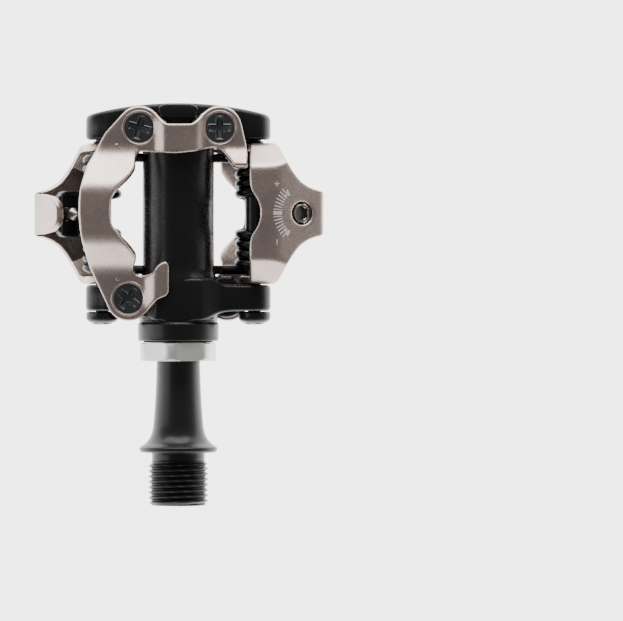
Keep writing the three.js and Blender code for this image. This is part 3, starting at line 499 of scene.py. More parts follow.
@dataclass
class Plate:
    """A plate cut to an outline and bent: one smooth surface, its parallel back, and a rounded rim between them.

    Args:
        name: the object's name.
        outline: the outline in the surface's own two parameters, in millimetres.
        surface: gives the face's points, in millimetres, from the two parameters.
        thickness: of the plate, in millimetres.
        holes: (u, v, radius, countersink): round holes; the countersink widens the hole towards the face.
        rim: radius of the rounded rim.
        inner: spacing of the points inside the outline.
        spacing: spacing of the points on the outline.
        back: gives the back's points where the plate isn't of even thickness.
        passes: how much the outline's corners are eased.
    """

    name: str
    outline: Sequence[tuple[float, float]]
    surface: Surface
    thickness: float
    holes: Sequence[tuple[float, float, float, float]] = ()
    rim: float = 0.45
    inner: float = 0.9
    spacing: float = 0.35
    back: Surface | None = None
    passes: int = 2

    def _both(self, uv: Array) -> tuple[Array, Array]:
        """Points of the face and of the back: the back lies one thickness behind, along the face's normal."""
        face = self.surface(*uv.T)
        if self.back:
            return face, self.back(*uv.T)
        return face, face - self.thickness * surface_normals(self.surface, *uv.T)[0]

    def build(self) -> tuple[Array, list]:
        """Works out the plate's points and faces.

        The outline is drawn in by the rim's radius and the region inside it is triangulated with a grid of points.
        Each loop then gets rings that go round the rim: with e out of the loop and d from face to back, they are
        face + e r sin(a) + d r (1 - cos(a)) for a from 0 to a right angle, and the same at the back. A countersink
        leaves out e and runs straight from the hole's wide mouth to its narrow part.

        Returns:
            Points in metres and faces.
        """
        loops = [(smooth_loop(self.outline, self.spacing, self.passes), 1.0, 0.0)]
        for u, v, radius, sink in self.holes:
            loops.append((smooth_loop(arc(u, v, radius, 0, 350, 36), 0.3, 0), -1.0, sink))
        edges = [drawn_in(loop, self.rim, sign) for loop, sign, _ in loops]
        mouths = [edge + sink * outward(edge, 1) if sink else edge for edge, (_, _, sink) in zip(edges, loops)]
        face_uv, triangles = self._triangulate(mouths)
        back_uv = face_uv.copy()
        starts = np.concatenate([[0], np.cumsum([len(m) for m in mouths])])
        for start, loop in zip(starts, edges):
            back_uv[start : start + len(loop)] = loop
        face = self.surface(*face_uv.T)
        back = self._both(back_uv)[1]
        count = len(face)
        points = [face, back]
        faces = [tuple(t) for t in triangles] + [tuple(t[::-1] + count) for t in triangles]
        total = 2 * count
        for start, inner, (loop, sign, sink) in zip(starts, edges, loops):
            rings = self._rim(inner, outward(loop, sign), sink)
            n = len(inner)
            index = [start + np.arange(n)]
            for ring in rings:
                index.append(total + np.arange(n))
                points.append(ring)
                total += n
            index.append(count + start + np.arange(n))
            for upper, lower in zip(index, index[1:]):
                after_up, after_low = np.roll(upper, -1), np.roll(lower, -1)
                quads = np.stack([upper, lower, after_low, after_up], axis=-1)
                faces += [tuple(q) for q in (quads if sign > 0 else quads[:, ::-1])]
        return np.concatenate(points) * MM, faces

    def _rim(self, inner: Array, out: Array, sink: float) -> list[Array]:
        """The rings that round the rim of one loop, from the face to the back, as build says."""
        face, back = self._both(inner)
        normal, du, dv = surface_normals(self.surface, *inner.T)
        rate = du * out[:, :1] + dv * out[:, 1:]
        rate -= normal * np.einsum("ij,ij->i", rate, normal)[:, None]
        e = rate / np.maximum(np.linalg.norm(rate, axis=1, keepdims=True), 1e-9)
        depth = np.linalg.norm(back - face, axis=1, keepdims=True)
        d = (back - face) / depth
        angles = np.radians([30, 60, 90])
        upper = [face + e * self.rim * np.sin(a) + d * self.rim * (1 - np.cos(a)) for a in angles]
        lower = [back + e * self.rim * np.sin(a) - d * self.rim * (1 - np.cos(a)) for a in angles[::-1]]
        if sink:
            upper = [face + d * min(sink, 0.8 * self.thickness) + e * self.rim * 0.999]
        return upper + lower

    def _triangulate(self, loops: Sequence[Array]) -> tuple[Array, Array]:
        """Triangles over the region between the loops, on the loops' points and a staggered grid inside them."""
        outer, holes = loops[0], loops[1:]
        low, high = outer.min(axis=0), outer.max(axis=0)
        u, v = np.meshgrid(np.arange(low[0], high[0], self.inner), np.arange(low[1], high[1], self.inner * 0.87))
        u = u + (np.arange(len(v)) % 2)[:, None] * self.inner / 2
        grid = np.stack([u.ravel(), v.ravel()], axis=-1)
        keep = inside(grid, outer)
        for hole in holes:
            keep &= ~inside(grid, hole)
        grid = grid[keep]
        edge = np.concatenate(loops)
        nearest = np.min(np.linalg.norm(grid[:, None] - edge[None], axis=-1), axis=1)
        grid = grid[nearest > 0.55 * self.inner]
        points = np.concatenate([edge, grid])
        constraints, start = [], 0
        for loop in loops:
            n = len(loop)
            a = start + np.arange(n)
            constraints += [*zip(a.tolist(), np.roll(a, -1).tolist())]
            start += n
        found = delaunay_2d_cdt([Vector(p) for p in points.tolist()], constraints, [], 0, 1e-6)
        corners, origins = found[0], found[3]
        source = np.array([o[0] if o else -1 for o in origins])
        if len(corners) != len(points) or (source < 0).any():
            crossings = [tuple(corners[i]) for i in np.where(source < 0)[0][:4]]
            raise ValueError(f"{self.name}: the outline crosses itself near {crossings}")
        triangles = source[np.array(found[2])]
        middle = points[triangles].mean(axis=1)
        keep = inside(middle, outer)
        for hole in holes:
            keep &= ~inside(middle, hole)
        triangles = triangles[keep]
        a, b, c = points[triangles].transpose(1, 0, 2)
        turn = (b - a)[:, 0] * (c - a)[:, 1] - (b - a)[:, 1] * (c - a)[:, 0]
        triangles[turn < 0] = triangles[turn < 0][:, ::-1]
        return points, triangles[np.abs(turn) > 1e-7]


def swept_wire(path: Array, radius: float, axis_x: float, sides: int = 14) -> tuple[Array, list]:
    """A round wire carried along a path that winds round an axis along Y, with domed ends.

    Ring i lies across the path's tangent. Its first direction points away from the axis, with its part along the
    tangent taken off, so neighbouring rings never twist. The ends shrink as sqrt(1 - t^2) over one radius.

    Args:
        path: N by 3 points in millimetres, close together.
        radius: of the wire.
        axis_x: where the axis is.
        sides: points on each ring.

    Returns:
        Points in metres and faces.
    """
    tangent = np.gradient(path, axis=0)
    tangent /= np.linalg.norm(tangent, axis=1, keepdims=True)
    away = (path - (axis_x, 0, 0)) * (1, 0, 1)
    across = away - tangent * np.einsum("ij,ij->i", away, tangent)[:, None]
    across /= np.linalg.norm(across, axis=1, keepdims=True)
    up = np.cross(tangent, across)
    t = np.array([1, 0.92, 0.7, 0.38, 0])
    cap = np.sqrt(1 - t**2)
    reach = np.concatenate([-t * radius, np.zeros(len(path) - 2), (t * radius)[::-1]])
    scale = np.concatenate([cap, np.ones(len(path) - 2), cap[::-1]])
    row = np.concatenate([np.zeros(5, int), np.arange(1, len(path) - 1), np.full(5, len(path) - 1)])
    angle = once_round(sides)
    middle = path[row] + tangent[row] * reach[:, None]
    size = np.maximum(scale, 0.02)[:, None, None] * radius
    rings = middle[:, None] + size * (
        across[row][:, None] * np.cos(angle)[:, None] + up[row][:, None] * np.sin(angle)[:, None]
    )
    points, faces = turned_shell(rings)
    return points * MM, faces


def smooth_path(points: Sequence[Sequence[float]], spacing: float, passes: int) -> Array:
    """An open path resampled at even spacing and eased at its corners, its two ends kept."""
    places = np.array(points, dtype=float)
    along = np.concatenate([[0], np.cumsum(np.linalg.norm(np.diff(places, axis=0), axis=1))])
    wanted = np.linspace(0, along[-1], max(8, round(along[-1] / spacing)))
    path = np.stack([np.interp(wanted, along, places[:, i]) for i in range(3)], axis=-1)
    for _ in range(passes):
        path[1:-1] = (path[:-2] + 2 * path[1:-1] + path[2:]) / 4
    return path


def head_rings(head: Array, top: Array, side: Array) -> tuple[Array, Array]:
    """Radii and heights of a screw: the head's polar grid at the heights in top, then (radius, height) in side."""
    columns = top.shape[1]
    radius = np.repeat(np.concatenate([head, side[:, :1]]), columns, axis=1)
    return radius, np.concatenate([top, np.repeat(side[:, 1:], columns, axis=1)])


def piece(
    name: str, shell: tuple[Array, Sequence], finish: Finish, smooth_angle: float, body: str, slot: str, *nodes: str
) -> None:
    """Args:
        name: the piece's name.
        shell: its points in metres, and faces.
        finish: its material.
        smooth_angle: edges sharper than this stay sharp, in degrees.
        body: the body that it rides on.
        slot: the record's material slot of its finish; not used.
        nodes: the CAD nodes that it stands for.
    """
    made = mesh_object(name, *shell, finish, smooth_angle)
    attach(made, body)
    if nodes:
        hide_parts(*nodes)
    LOG.info("%s rides on %s", name, body)


def cross_depth(x: Array, z: Array, arm: float, width: float, depth: float) -> Array:
    """Depth of a driver's cross recess at a place on a head.

    The recess is the union of two bars. Its mouth is a 0.3 mm chamfer with a raised lip, its walls are steep
    below that, and it deepens towards the middle.
    """
    bar_a = np.minimum(arm - np.abs(x), (width / 2 - np.abs(z)) * 1.2)
    bar_b = np.minimum(arm - np.abs(z), (width / 2 - np.abs(x)) * 1.2)
    within = np.maximum(bar_a, bar_b)
    mouth, sink, wall_width, lip_height, lip_width = 0.3, 0.22, 0.12, 0.12, 0.11
    chamfer = sink * np.clip(within / mouth, 0, 1)
    wall = np.clip((within - mouth) / wall_width, 0, 1)
    slope = np.clip(1.2 - 0.38 * np.hypot(x, z), 0.3, 1)
    lip = lip_height * np.exp(-((within / lip_width) ** 2))
    return chamfer + (depth * slope - sink) * wall - lip


# ---- spindle ------------------------------------------------------------------------------------


@dataclass
class Spindle:
    """The spindle: crank thread, key socket, seating flange and the long neck that enters the body."""

    thread_from: float = -12.6
    thread_to: float = -2.1
    crest: float = 7.14
    root: float = 6.42
    pitch: float = 1.27
    socket_across_flats: float = 8.0
    socket_depth: float = 8.5
    columns: int = 144

    def outer_profile(self) -> Array:
        """Radius and y from the thread's end to the tail, with the flange's rim and the flared neck."""
        return rounded_profile(
            [
                (6.2, self.thread_to + 0.02, 0), (6.3, self.thread_to + 0.3, 0.2), (6.3, -0.35, 0.3),
                (6.5, 0.0, 0.15), (8.75, 0.0, 0.5), (9.3, 0.55, 0.5), (9.3, 1.2, 0.5), (8.5, 1.75, 0.4),
                (7.7, 2.3, 0.9), (6.62, 3.7, 1.2), (6.05, 5.6, 1.5), (5.8, 8.4, 2), (5.45, 13.2, 3),
                (5.25, 18.0, 2), (5.15, 21.8, 1), (5.1, 38.5, 1), (4.0, 42, 1), (3.6, 61.6, 0.1), (3.0, 61.7, 0.1),
                (3.0, 75.9, 0.2), (2.6, 76.2, 0.2), (0.3, 76.2, 0),
            ],
            5,
        )

    def build(self) -> None:
        """Makes the spindle as one grid of rings about Y.

        The rings start on the floor of the hexagonal key socket, climb its wall (radius of a hexagon at each
        angle), pass the chamfered mouth, run along the thread and then follow the outer profile. The thread's
        radius is root + (crest - root) * clip(1.35 * |saw|), where saw runs from -1 to 1 once a pitch and is
        moved on by the angle, which makes a helix.
        """
        angle = once_round(self.columns)
        start = self.thread_from
        hexed = hexagon(angle, self.socket_across_flats)
        floor = start + self.socket_depth
        rows: list[tuple[Array, float]] = [(np.full_like(angle, 0.3), floor - 0.3), (0.97 * hexed, floor)]
        rows += [(hexed, floor - 0.15), (hexed, start + 1.0), (hexed + 0.05, start + 0.85)]
        rows += [(np.maximum(hexed, 4.95), start + 0.75), (np.full_like(angle, 5.0), start + 0.3)]
        rows += [(np.full_like(angle, 5.25), start), (np.full_like(angle, 6.25), start)]
        y = np.linspace(start + 0.12, self.thread_to, 110)[:, None]
        saw = np.abs(2 * np.mod(y / self.pitch + angle / (2 * np.pi), 1) - 1)
        tooth = self.root + (self.crest - self.root) * np.clip(1.25 * saw - 0.12, 0, 1)
        lead = np.minimum(tooth, 6.3 + 0.9 * (y - start))
        runout = np.clip((self.thread_to - y) / 0.7, 0, 1)
        thread = self.root + (lead - self.root) * runout
        thread[-1] = self.root
        profile = self.outer_profile()
        radius = np.concatenate(
            [np.stack([r for r, _ in rows]), thread, np.repeat(profile[:, :1], self.columns, axis=1)]
        )
        height = np.concatenate([np.array([h for _, h in rows])[:, None], y, profile[:, 1:]])
        shell = turned_shell(rings_about_y(radius, height) * MM)
        piece("spindle_turned", shell, BLACK_SPINDLE, 30, "spindle", "black_steel", "spindle")


# ---- body ---------------------------------------------------------------------------------------


@dataclass
class Body:
    """The body casting and what is pressed or screwed into it: the lock nut, seal and O-ring."""

    barrel: float = 8.5
    bore: float = 6.9
    wing_half_width: float = 22.0
    pad: float = 6.7
    inboard: tuple[float, float] = (33.7, 39.9)
    outboard: tuple[float, float] = (74.4, 80.1)
    columns: int = 120

    def build(self) -> None:
        """Makes the casting's shells, the nut with its seal, and hands the small rings their finish."""
        shells = [self._barrel(), self._inboard_wing(), self._outboard_wing()]
        shells += [self._lump(face) for face in Face]
        shells += [self._boss(face) for face in Face]
        shells += [self._stop(face, y) for face in Face for y in (43.5, 70.1)]
        piece("body_cast", join_parts(shells), BLACK_CASTING, 34, "pedal_body", "black_paint", "body_casting")
        self._lock_nut()
        self._ring("seal_lip", [(5.45, 22.6), (6.6, 22.5), (6.6, 24.5), (5.45, 24.5)], 2, "spindle_seal")
        groove = [(6.95, 26.23), (8.3, 26.23), (8.3, 26.47), (6.95, 26.47)]
        self._ring("collar_o_ring_round", groove, 1, "collar_o_ring")

    def _barrel(self) -> tuple[Array, list]:
        """Collar, hub and barrel as rings about Y.

        The hub's radius is lifted towards a squarish shape: it is multiplied by (cos^p + sin^p)^(-1/p) with p
        falling from 2 outside the hub to more within it, so the top and bottom become flatter.
        """
        outer = rounded_profile(
            [
                (self.bore, 33.0, 0), (self.bore, 26.9, 0.1), (7.2, 26.5, 0.2), (9.25, 26.5, 0.3),
                (9.6, 26.85, 0.3), (9.65, 30.6, 0.2), (9.2, 31.0, 0.2), (9.35, 31.4, 0.3), (9.35, 40.2, 1.5),
                (self.barrel, 43.8, 2), (self.barrel, 72.0, 0.1), (self.barrel, 79.6, 0.3), (8.0, 80.2, 0.3),
                (0.3, 80.2, 0),
            ],
            5,
        )
        angle = once_round(self.columns)
        y = outer[:, 1:]
        hub = np.clip((y - 31.2) / 1.2, 0, 1) * np.clip((43.0 - y) / 3.5, 0, 1) * (outer[:, :1] > 8.2)
        power = 2 + 1.1 * hub
        squarish = (np.abs(np.cos(angle)) ** power + np.abs(np.sin(angle)) ** power) ** (-1 / power)
        radius = outer[:, :1] * squarish
        floor = np.full((1, self.columns), 0.3)
        radius = np.concatenate([floor, np.full((1, self.columns), self.bore - 0.1), radius])
        height = np.concatenate([[[33.0]], [[33.0]], y])
        return turned_shell(rings_about_y(radius, height) * MM)

    def _section(self, hub: bool) -> list[tuple[float, float]]:
        """A wing's outline seen along the spindle, as x and z. Its lower edge is the upper one after half a turn."""
        end = self.wing_half_width
        lug = arc(-end + 4.4, 1.6, 4.4, 180, 100, 7)
        if hub:
            middle = [(-17.0, self.pad), (-7.4, self.pad), (-5.2, 9.2), (5.4, 9.2), (8.4, 7.4)]
            middle += [(10.5, 6.3), (14.5, 5.9)]
        else:
            middle = [(-16.0, self.pad), (16.0, self.pad)]
        upper = [*lug, *middle, *arc(end - 4.4, 1.6, 4.4, 80, 0, 7)]
        return [*upper, *[(-x, -z) for x, z in upper]]

    def _inboard_wing(self) -> tuple[Array, list]:
        """The wing beside the crank: its section carried along Y, with a rounded edge all round."""
        start, end = self.inboard

        def crank_side(u: Array, v: Array) -> Array:
            """The face towards the crank, which bulges along the hub: y = start - 2.4 / (1 + (u / 8.6)^8)."""
            return np.stack([u, start - 2.4 / (1 + (u / 8.6) ** 8), v], axis=-1)

        def far_side(u: Array, v: Array) -> Array:
            """The face towards the cleat, which fills the corner beside the barrel."""
            return np.stack([u, end + 1.6 / (1 + (u / 9.2) ** 10), v], axis=-1)

        return Plate("wing", self._section(True), crank_side, 6.2, rim=0.9, back=far_side, inner=1.2).build()

    def _outboard_wing(self) -> tuple[Array, list]:
        """The wing at the outboard end, whose outer face is a shallow arc: y = 80.1 + 2.9 (1 - (x / 22)^2)."""
        start, end = self.outboard

        def outer_side(u: Array, v: Array) -> Array:
            """The outer face. Its parameters run so that its normal points outboard."""
            return np.stack([-u, end + 2.9 * (1 - (u / self.wing_half_width) ** 2), v], axis=-1)

        def inner_side(u: Array, v: Array) -> Array:
            """The inner face, flat at the lugs and filled in beside the barrel."""
            return np.stack([-u, start - 2.2 / (1 + (u / 12.2) ** 12), v], axis=-1)

        return Plate("wing", self._section(False), outer_side, 5.7, rim=1.1, back=inner_side, inner=1.2).build()

    def _lump(self, face: Face) -> tuple[Array, list]:
        """The raised lump between the hoop's outboard screws."""
        outline = [
            (-4.6, 81.2), (-3.5, 79.4), (3.9, 79.4), (5.0, 81.2), (4.9, 82.1), (3.4, 82.7), (-3.4, 82.7), (-4.6, 82.1),
        ]

        def top(u: Array, v: Array) -> Array:
            """Flat at 9.5 mm, falling a little towards the end."""
            return np.stack([u, v, 9.5 - 0.04 * np.maximum(v - 80, 0) ** 2], axis=-1)

        return on_face(Plate("lump", outline, top, 4, rim=0.35, inner=1.0, passes=4).build(), face)

    def _boss(self, face: Face) -> tuple[Array, list]:
        """The boss under the hoop's inboard screw, which rounds out the wing on both sides of it."""
        outline = [
            *arc(-11.6, 36.6, 4.5, 180, 352, 16),
            (-7.3, 38.4), (-8.4, 41.1), (-10.2, 42.0), (-13.2, 41.9), (-13.6, 40.6), (-15.2, 39.4),
        ]

        return on_face(Plate("boss", outline, level(6.6), 10.4, rim=0.8, inner=1.1, passes=2).build(), face)

    def _stop(self, face: Face, y: float) -> tuple[Array, list]:
        """The short rib that an end leg of the spring bears against."""
        outline = [(7.0, y - 1.0), (10.5, y - 1.0), (10.5, y + 1.0), (7.0, y + 1.0)]

        return on_face(Plate("stop", outline, level(0.15), 2.3, rim=0.3, inner=0.9, passes=1).build(), face)

    def _lock_nut(self) -> None:
        """The hexagonal lock nut: a hexagon at each angle, turned off at its corners, chamfered at both ends."""
        angle = once_round(180)
        turn = math.radians(10)
        hexed = hexagon(angle, 17, turn)
        sides = [(8.75, 21.8), (9.0, 22.0), (9.22, 22.35), (9.3, 22.8), (9.3, 25.6), (9.2, 25.9), (8.95, 26.15)]
        rows = [(np.full_like(angle, 6.1), 36.6), (np.full_like(angle, 6.1), 25.0), (np.full_like(angle, 6.75), 24.9)]
        rows += [(np.full_like(angle, 6.75), 22.2), (np.full_like(angle, 7.05), 21.8)]
        rows += [(smooth_min(hexed, np.full_like(angle, limit), 0.25), y) for limit, y in sides]
        rows += [(np.full_like(angle, 6.75), 26.18), (np.full_like(angle, 6.7), 36.4), (np.full_like(angle, 6.5), 36.6)]
        radius, height = np.stack([r for r, _ in rows]), np.array([y for _, y in rows])[:, None]
        shell = tube_shell(rings_about_y(radius, height))
        piece("lock_nut_milled", shell, ALUMINIUM, 26, "pedal_body", "aluminium", "lock_nut")

    def _ring(self, name: str, section: Sequence[tuple[float, float]], passes: int, node: str) -> None:
        """A rubber ring: a section, eased the given number of times, carried once about Y."""
        loop = smooth_loop(section, 0.12, passes)
        radius = np.repeat(loop[:, :1], 96, axis=1)
        shell = tube_shell(rings_about_y(radius, loop[:, 1:]))
        piece(name, shell, RUBBER, 60, "pedal_body", "rubber", node)


# ---- hoop ---------------------------------------------------------------------------------------


@dataclass
class Hoop:
    """The fixed cleat hoop of one face, pressed from plate, with its three countersunk screws."""

    face: Face
    thickness: float = 2.0
    low: float = 9.0
    high: float = 15.97
    step: float = 1.7
    head: float = 3.7
    screws: tuple[tuple[float, float, float], ...] = ((-9.0, 77.0, 15), (10.0, 77.0, 0), (-11.6, 36.6, 38))

    def outline(self) -> list[tuple[float, float]]:
        """The blank's outline from above, counter-clockwise from the left end of the outboard part."""
        (lx, ly, _), (rx, ry, _), (ix, iy, _) = self.screws
        return [
            (-23.15, 57), (-22.9, 53.2), (-22.3, 49.3), (-21.5, 46.3), (-20.7, 43.4), (-19.9, 42.0), (-17.5, 36.9),
            *arc(ix, iy, 5.3, 208, 316, 14),
            (-5.9, 35.5), (-4.9, 36.3), (-2.6, 37.2), (-2.0, 37.9), (-2.0, 44.9), (-2.9, 45.6), (-4.2, 44.9),
            (-5.9, 42.9), (-7.2, 42.2), (-8.6, 42.0), (-10.1, 42.3), (-10.4, 43.2), (-10.2, 44.2), (-9.7, 45.2),
            (-9.7, 46.4), (-10.9, 48.1), (-12.8, 50.3), (-14.1, 52.2), (-15.4, 54.2), (-15.75, 57), (-15.5, 60.0),
            (-14.2, 62.6), (-13.0, 64.0), (-11.1, 66.0), (-9.9, 67.9), (-9.9, 69.8), (-9.6, 71.2), (-8.5, 71.5),
            (-4.8, 71.1), (-0.4, 70.9), (5.2, 71.5), (7.7, 72.3), (9.4, 72.4), (10.8, 71.5), (12.6, 69.4), (13.4, 68.1),
            (16.6, 68.1), (16.65, 71), (16.1, 73.8),
            *arc(rx, ry, 5.25, 12, 146, 14),
            (4.5, 78.5), (3.4, 78.0), (-2.6, 78.0), (-3.6, 78.6),
            *arc(lx, ly, 5.25, 36, 140, 12),
            (-17.1, 75.9), (-19.4, 71.7), (-21.3, 68.6), (-22.0, 66), (-22.8, 62.5), (-23.1, 59.4),
        ]

    def surface(self, u: Array, v: Array) -> Array:
        """The pressed face: z over the plan.

        Left of the arms' edge, z follows the arms' side view along Y. The outboard part carries a step over the
        barrel along X, the guide at its right rises inboard, and the tongue steps up along X.
        """
        low, high = self.low, self.high
        arms = smooth_steps(v, [(0, low), (43.0, low), (50.9, high), (63.1, high), (71.3, low), (200, low)], 4.2)
        ridge = smooth_steps(
            u, [(-99, low), (-5.0, low), (-3.5, low + self.step), (4.6, low + self.step), (6.1, low), (99, low)], 1.6
        )
        guide = smooth_steps(v, [(0, low + 4.3), (66.0, low + 4.3), (72.3, low), (200, low)], 1.6)
        tongue = smooth_steps(u, [(-99, low), (-7.5, low), (-5.7, low + self.step), (99, low + self.step)], 1.7)
        outboard = np.where(u > 9.5, guide, ridge)
        z = np.where(u < -9.4, arms, np.where(v > 60, outboard, tongue))
        return np.stack([u, v, z], axis=-1)

    def build(self) -> None:
        """Makes the plate with its countersunk holes, and the screws."""
        holes = [(x, y, 2.2, 1.0) for x, y, _ in self.screws]
        plate = Plate("hoop", self.outline(), self.surface, self.thickness, holes, rim=0.55, inner=0.7, spacing=0.3)
        shells = [plate.build(), *(self._dot(x, y) for x, y in ((-14.4, 72.8), (-14.1, 41.3)))]
        shells += [self._coined_ring(x, y) for x, y, _ in self.screws]
        name = f"{self.face.prefix}_hoop"
        shell = on_face(join_parts(shells), self.face)
        piece(f"{name}_pressed", shell, PLATED, 50, "pedal_body", "plated_steel", name)
        for number, (x, y, turn) in enumerate(self.screws, 1):
            self._screw(number, x, y, math.radians(turn))

    def _coined_ring(self, x: float, y: float) -> tuple[Array, list]:
        """The low ring that the press coins around a countersink: a torus sunk to its middle in the plate."""
        around, across = once_round(72), once_round(12)
        radius = 3.98 + 0.2 * np.cos(across)
        height = np.broadcast_to(self.low + 0.13 * np.sin(across), (72, 12))
        rings = np.stack([x + np.outer(np.cos(around), radius), y + np.outer(np.sin(around), radius), height], axis=-1)
        return tube_shell(rings)

    def _dot(self, x: float, y: float) -> tuple[Array, list]:
        """A small locating dot, raised by the press: rings of a low dome, z = low + 0.16 (1 - (r / 0.5)^4)."""
        angle = once_round(20)
        radius = np.array([0.5, 0.5, 0.44, 0.34, 0.2, 0.06])[:, None] * np.ones_like(angle)
        height = self.low + 0.16 * (1 - (radius / 0.5) ** 4)
        height[0] = self.low - 0.3
        rings = np.stack([x + radius * np.cos(angle), y + radius * np.sin(angle), height], axis=-1)
        return turned_shell(rings * MM)

    def _screw(self, number: int, x: float, y: float, turn: float) -> None:
        """A countersunk screw: a polar grid over the head with a cross recess, its cone and its shank."""
        columns = 168
        angle = once_round(columns)
        head = np.concatenate([[0.02], np.linspace(0.1, 2.85, 44), [3.2, 3.5, self.head - 0.08]])[:, None]
        px, pz = head * np.cos(angle + turn), head * np.sin(angle + turn)
        top = self.low - 0.1 - cross_depth(px, pz, 2.75, 1.6, 0.8)
        brim = [(self.head, self.low - 0.22), (self.head, self.low - 0.32)]
        side = np.array([*brim, (2.05, 7.1), (2.0, 2.6), (1.7, 2.4)])
        radius, height = head_rings(head, top, side)
        rings = np.stack([x + radius * np.cos(angle), y + radius * np.sin(angle), height], axis=-1)
        name = f"{self.face.prefix}_hoop_screw_{number}"
        shell = on_face(turned_shell(rings * MM), self.face)
        piece(f"{name}_cross", shell, BLACK_SCREW, 28, "pedal_body", "black_steel", name)


# ---- claw ---------------------------------------------------------------------------------------


@dataclass
class Claw:
    """The sprung claw of one face with its tension screw and block."""

    face: Face
    thickness: float = 1.95
    middle: float = 56.8
    half_width: float = 16.7
    top: float = 13.98
    pin_x: float = 18.1
    bend_x: float = 22.4
    tip: tuple[float, float] = (35.0, 6.95)
    hook: tuple[float, float] = (28.6, -3.2)
    screw_x: float = 29.6
    side_flat: float = 10.6
    side_run: float = 5.5
    side_drop: float = 7.4

    @property
    def slope(self) -> float:
        """Angle of the sloping top below the flat, in radians."""
        return math.atan2(self.top - self.tip[1], self.tip[0] - self.bend_x)

    @property
    def side(self) -> float:
        """Length of a sloping side, measured on the plate."""
        return math.hypot(self.side_run, self.side_drop)

    @property
    def corner(self) -> float:
        """Distance on the plate from u = 0 to the tip."""
        return self.bend_x + math.hypot(self.tip[0] - self.bend_x, self.top - self.tip[1])

    @property
    def end(self) -> float:
        """Distance on the plate from u = 0 to the end of the hook."""
        return self.corner + math.hypot(self.tip[0] - self.hook[0], self.tip[1] - self.hook[1])

    @property
    def fold(self) -> float:
        """Distance on the plate from its middle to the pin's axis, down a side and an arm."""
        return self.side_flat + self.side + self.top - self.side_drop

    def surface(self, u: Array, v: Array) -> Array:
        """The pressed face from two distances measured on the plate itself.

        u runs over the flat top, down the slope and in under the tip; v runs from the middle over the flat, down
        the side and down the arm. Each gives a place and a height, and the face takes the lesser height, rounded.
        """
        turn_u = [0, self.bend_x, self.corner, self.end]
        soft = 2.4 + 2.2 * np.clip((27 - u) / 3, 0, 1)
        x = smooth_steps(u, [*zip(turn_u, [0, self.bend_x, self.tip[0], self.hook[0]])], soft)
        zx = smooth_steps(u, [*zip(turn_u, [self.top, self.top, self.tip[1], self.hook[1]])], soft)
        past, low = 30, self.top - self.side_drop
        start = self.side_flat
        turn_v = [0, start, start + self.side, start + self.side + past]
        w = np.abs(v)
        y = smooth_steps(w, [*zip(turn_v, [0, start, self.half_width, self.half_width])], 2.6)
        zy = smooth_steps(w, [*zip(turn_v, [self.top, self.top, low, low - past])], 2.6)
        z = smooth_min(zx, zy, 1.6)
        return np.stack([x, self.middle + np.sign(v) * y, z], axis=-1)

    def outline(self) -> list[tuple[float, float]]:
        """One half of the blank in the plate's own distances, mirrored for the other half."""
        edge, fold, corner, end, pin = self.side_flat + self.side, self.fold, self.corner, self.end, self.pin_x
        lobe = [(pin + 3.95 * math.cos(a), fold - 3.95 * math.sin(a)) for a in np.radians(np.linspace(200, 340, 14))]
        half = [
            (19.7, 0.6), (19.5, 1.8), (18.9, 3.4), (17.7, 5.2), (17.2, 6.6), (17.15, 8.5), (17.15, edge + 1.5),
            (pin - 1.6, edge + 2.6), (pin - 3.2, fold - 1.8),
            *lobe,
            (22.6, fold - 3.4), (23.3, edge + 0.6), (24.0, edge - 0.7), (24.9, 17.0), (25.9, 14.6), (27.0, 12.2),
            (28.3, 9.8), (30.3, 7.6), (32.6, 6.25), (34.6, 5.6), (corner - 0.3, 5.2), (corner + 0.9, 4.9),
            (corner + 4.0, 4.75), (end - 3.4, 4.1), (end - 1.2, 2.9), (end - 0.25, 1.4),
        ]
        return [*half, *[(u, -v) for u, v in reversed(half)]]

    def build(self) -> None:
        """Makes the plate, the dial's marks, the screw and the block."""
        screw_u = self.bend_x + (self.screw_x - self.bend_x) / math.cos(self.slope)
        holes = [(screw_u, 0.0, 2.75, 0.0), *((self.pin_x, v, 2.5, 0.0) for v in (self.fold, -self.fold))]
        plate = Plate("claw", self.outline(), self.surface, self.thickness, holes, rim=0.45, inner=0.75, spacing=0.3)
        name = f"{self.face.prefix}_claw"
        piece(f"{name}_pressed", on_face(plate.build(), self.face), PLATED, 50, name, "plated_steel", name)
        self._dial(screw_u)
        self._screw()
        self._block()

    def _dial(self, screw_u: float) -> None:
        """The generic tension dial: an arc of ticks, a pointer at each end, a plus and a minus."""
        shells = []
        around = np.radians(np.linspace(134, 226, 15))
        ticks = [(r * math.cos(a), r * math.sin(a), 0.57, 0.13, a) for a in around for r in (6.15, 7.25)]
        plus = (-6.9, 6.9)
        signs = [(*plus, 0.62, 0.12, 0.0), (*plus, 0.62, 0.12, math.pi / 2), (-6.9, -6.9, 0.62, 0.12, math.pi / 2)]
        for cu, cv, length, width, a in ticks + signs:
            corners = np.array([(-length, -width), (length, -width), (length, width), (-length, width)])
            turned = corners @ np.array([[math.cos(a), math.sin(a)], [-math.sin(a), math.cos(a)]])
            shells.append(self._mark(turned + (screw_u + cu, cv)))
        for sign in (1, -1):
            arrow = np.array([(-4.1, 5.6), (-4.9, 3.9), (-3.3, 4.1)]) * (1, sign)
            shells.append(self._mark(arrow + (screw_u, 0)))
        prefix = self.face.prefix
        shell = on_face(join_parts(shells), self.face)
        piece(f"{prefix}_dial_marks", shell, MARK_FILL, 30, f"{prefix}_claw", "plated_steel")

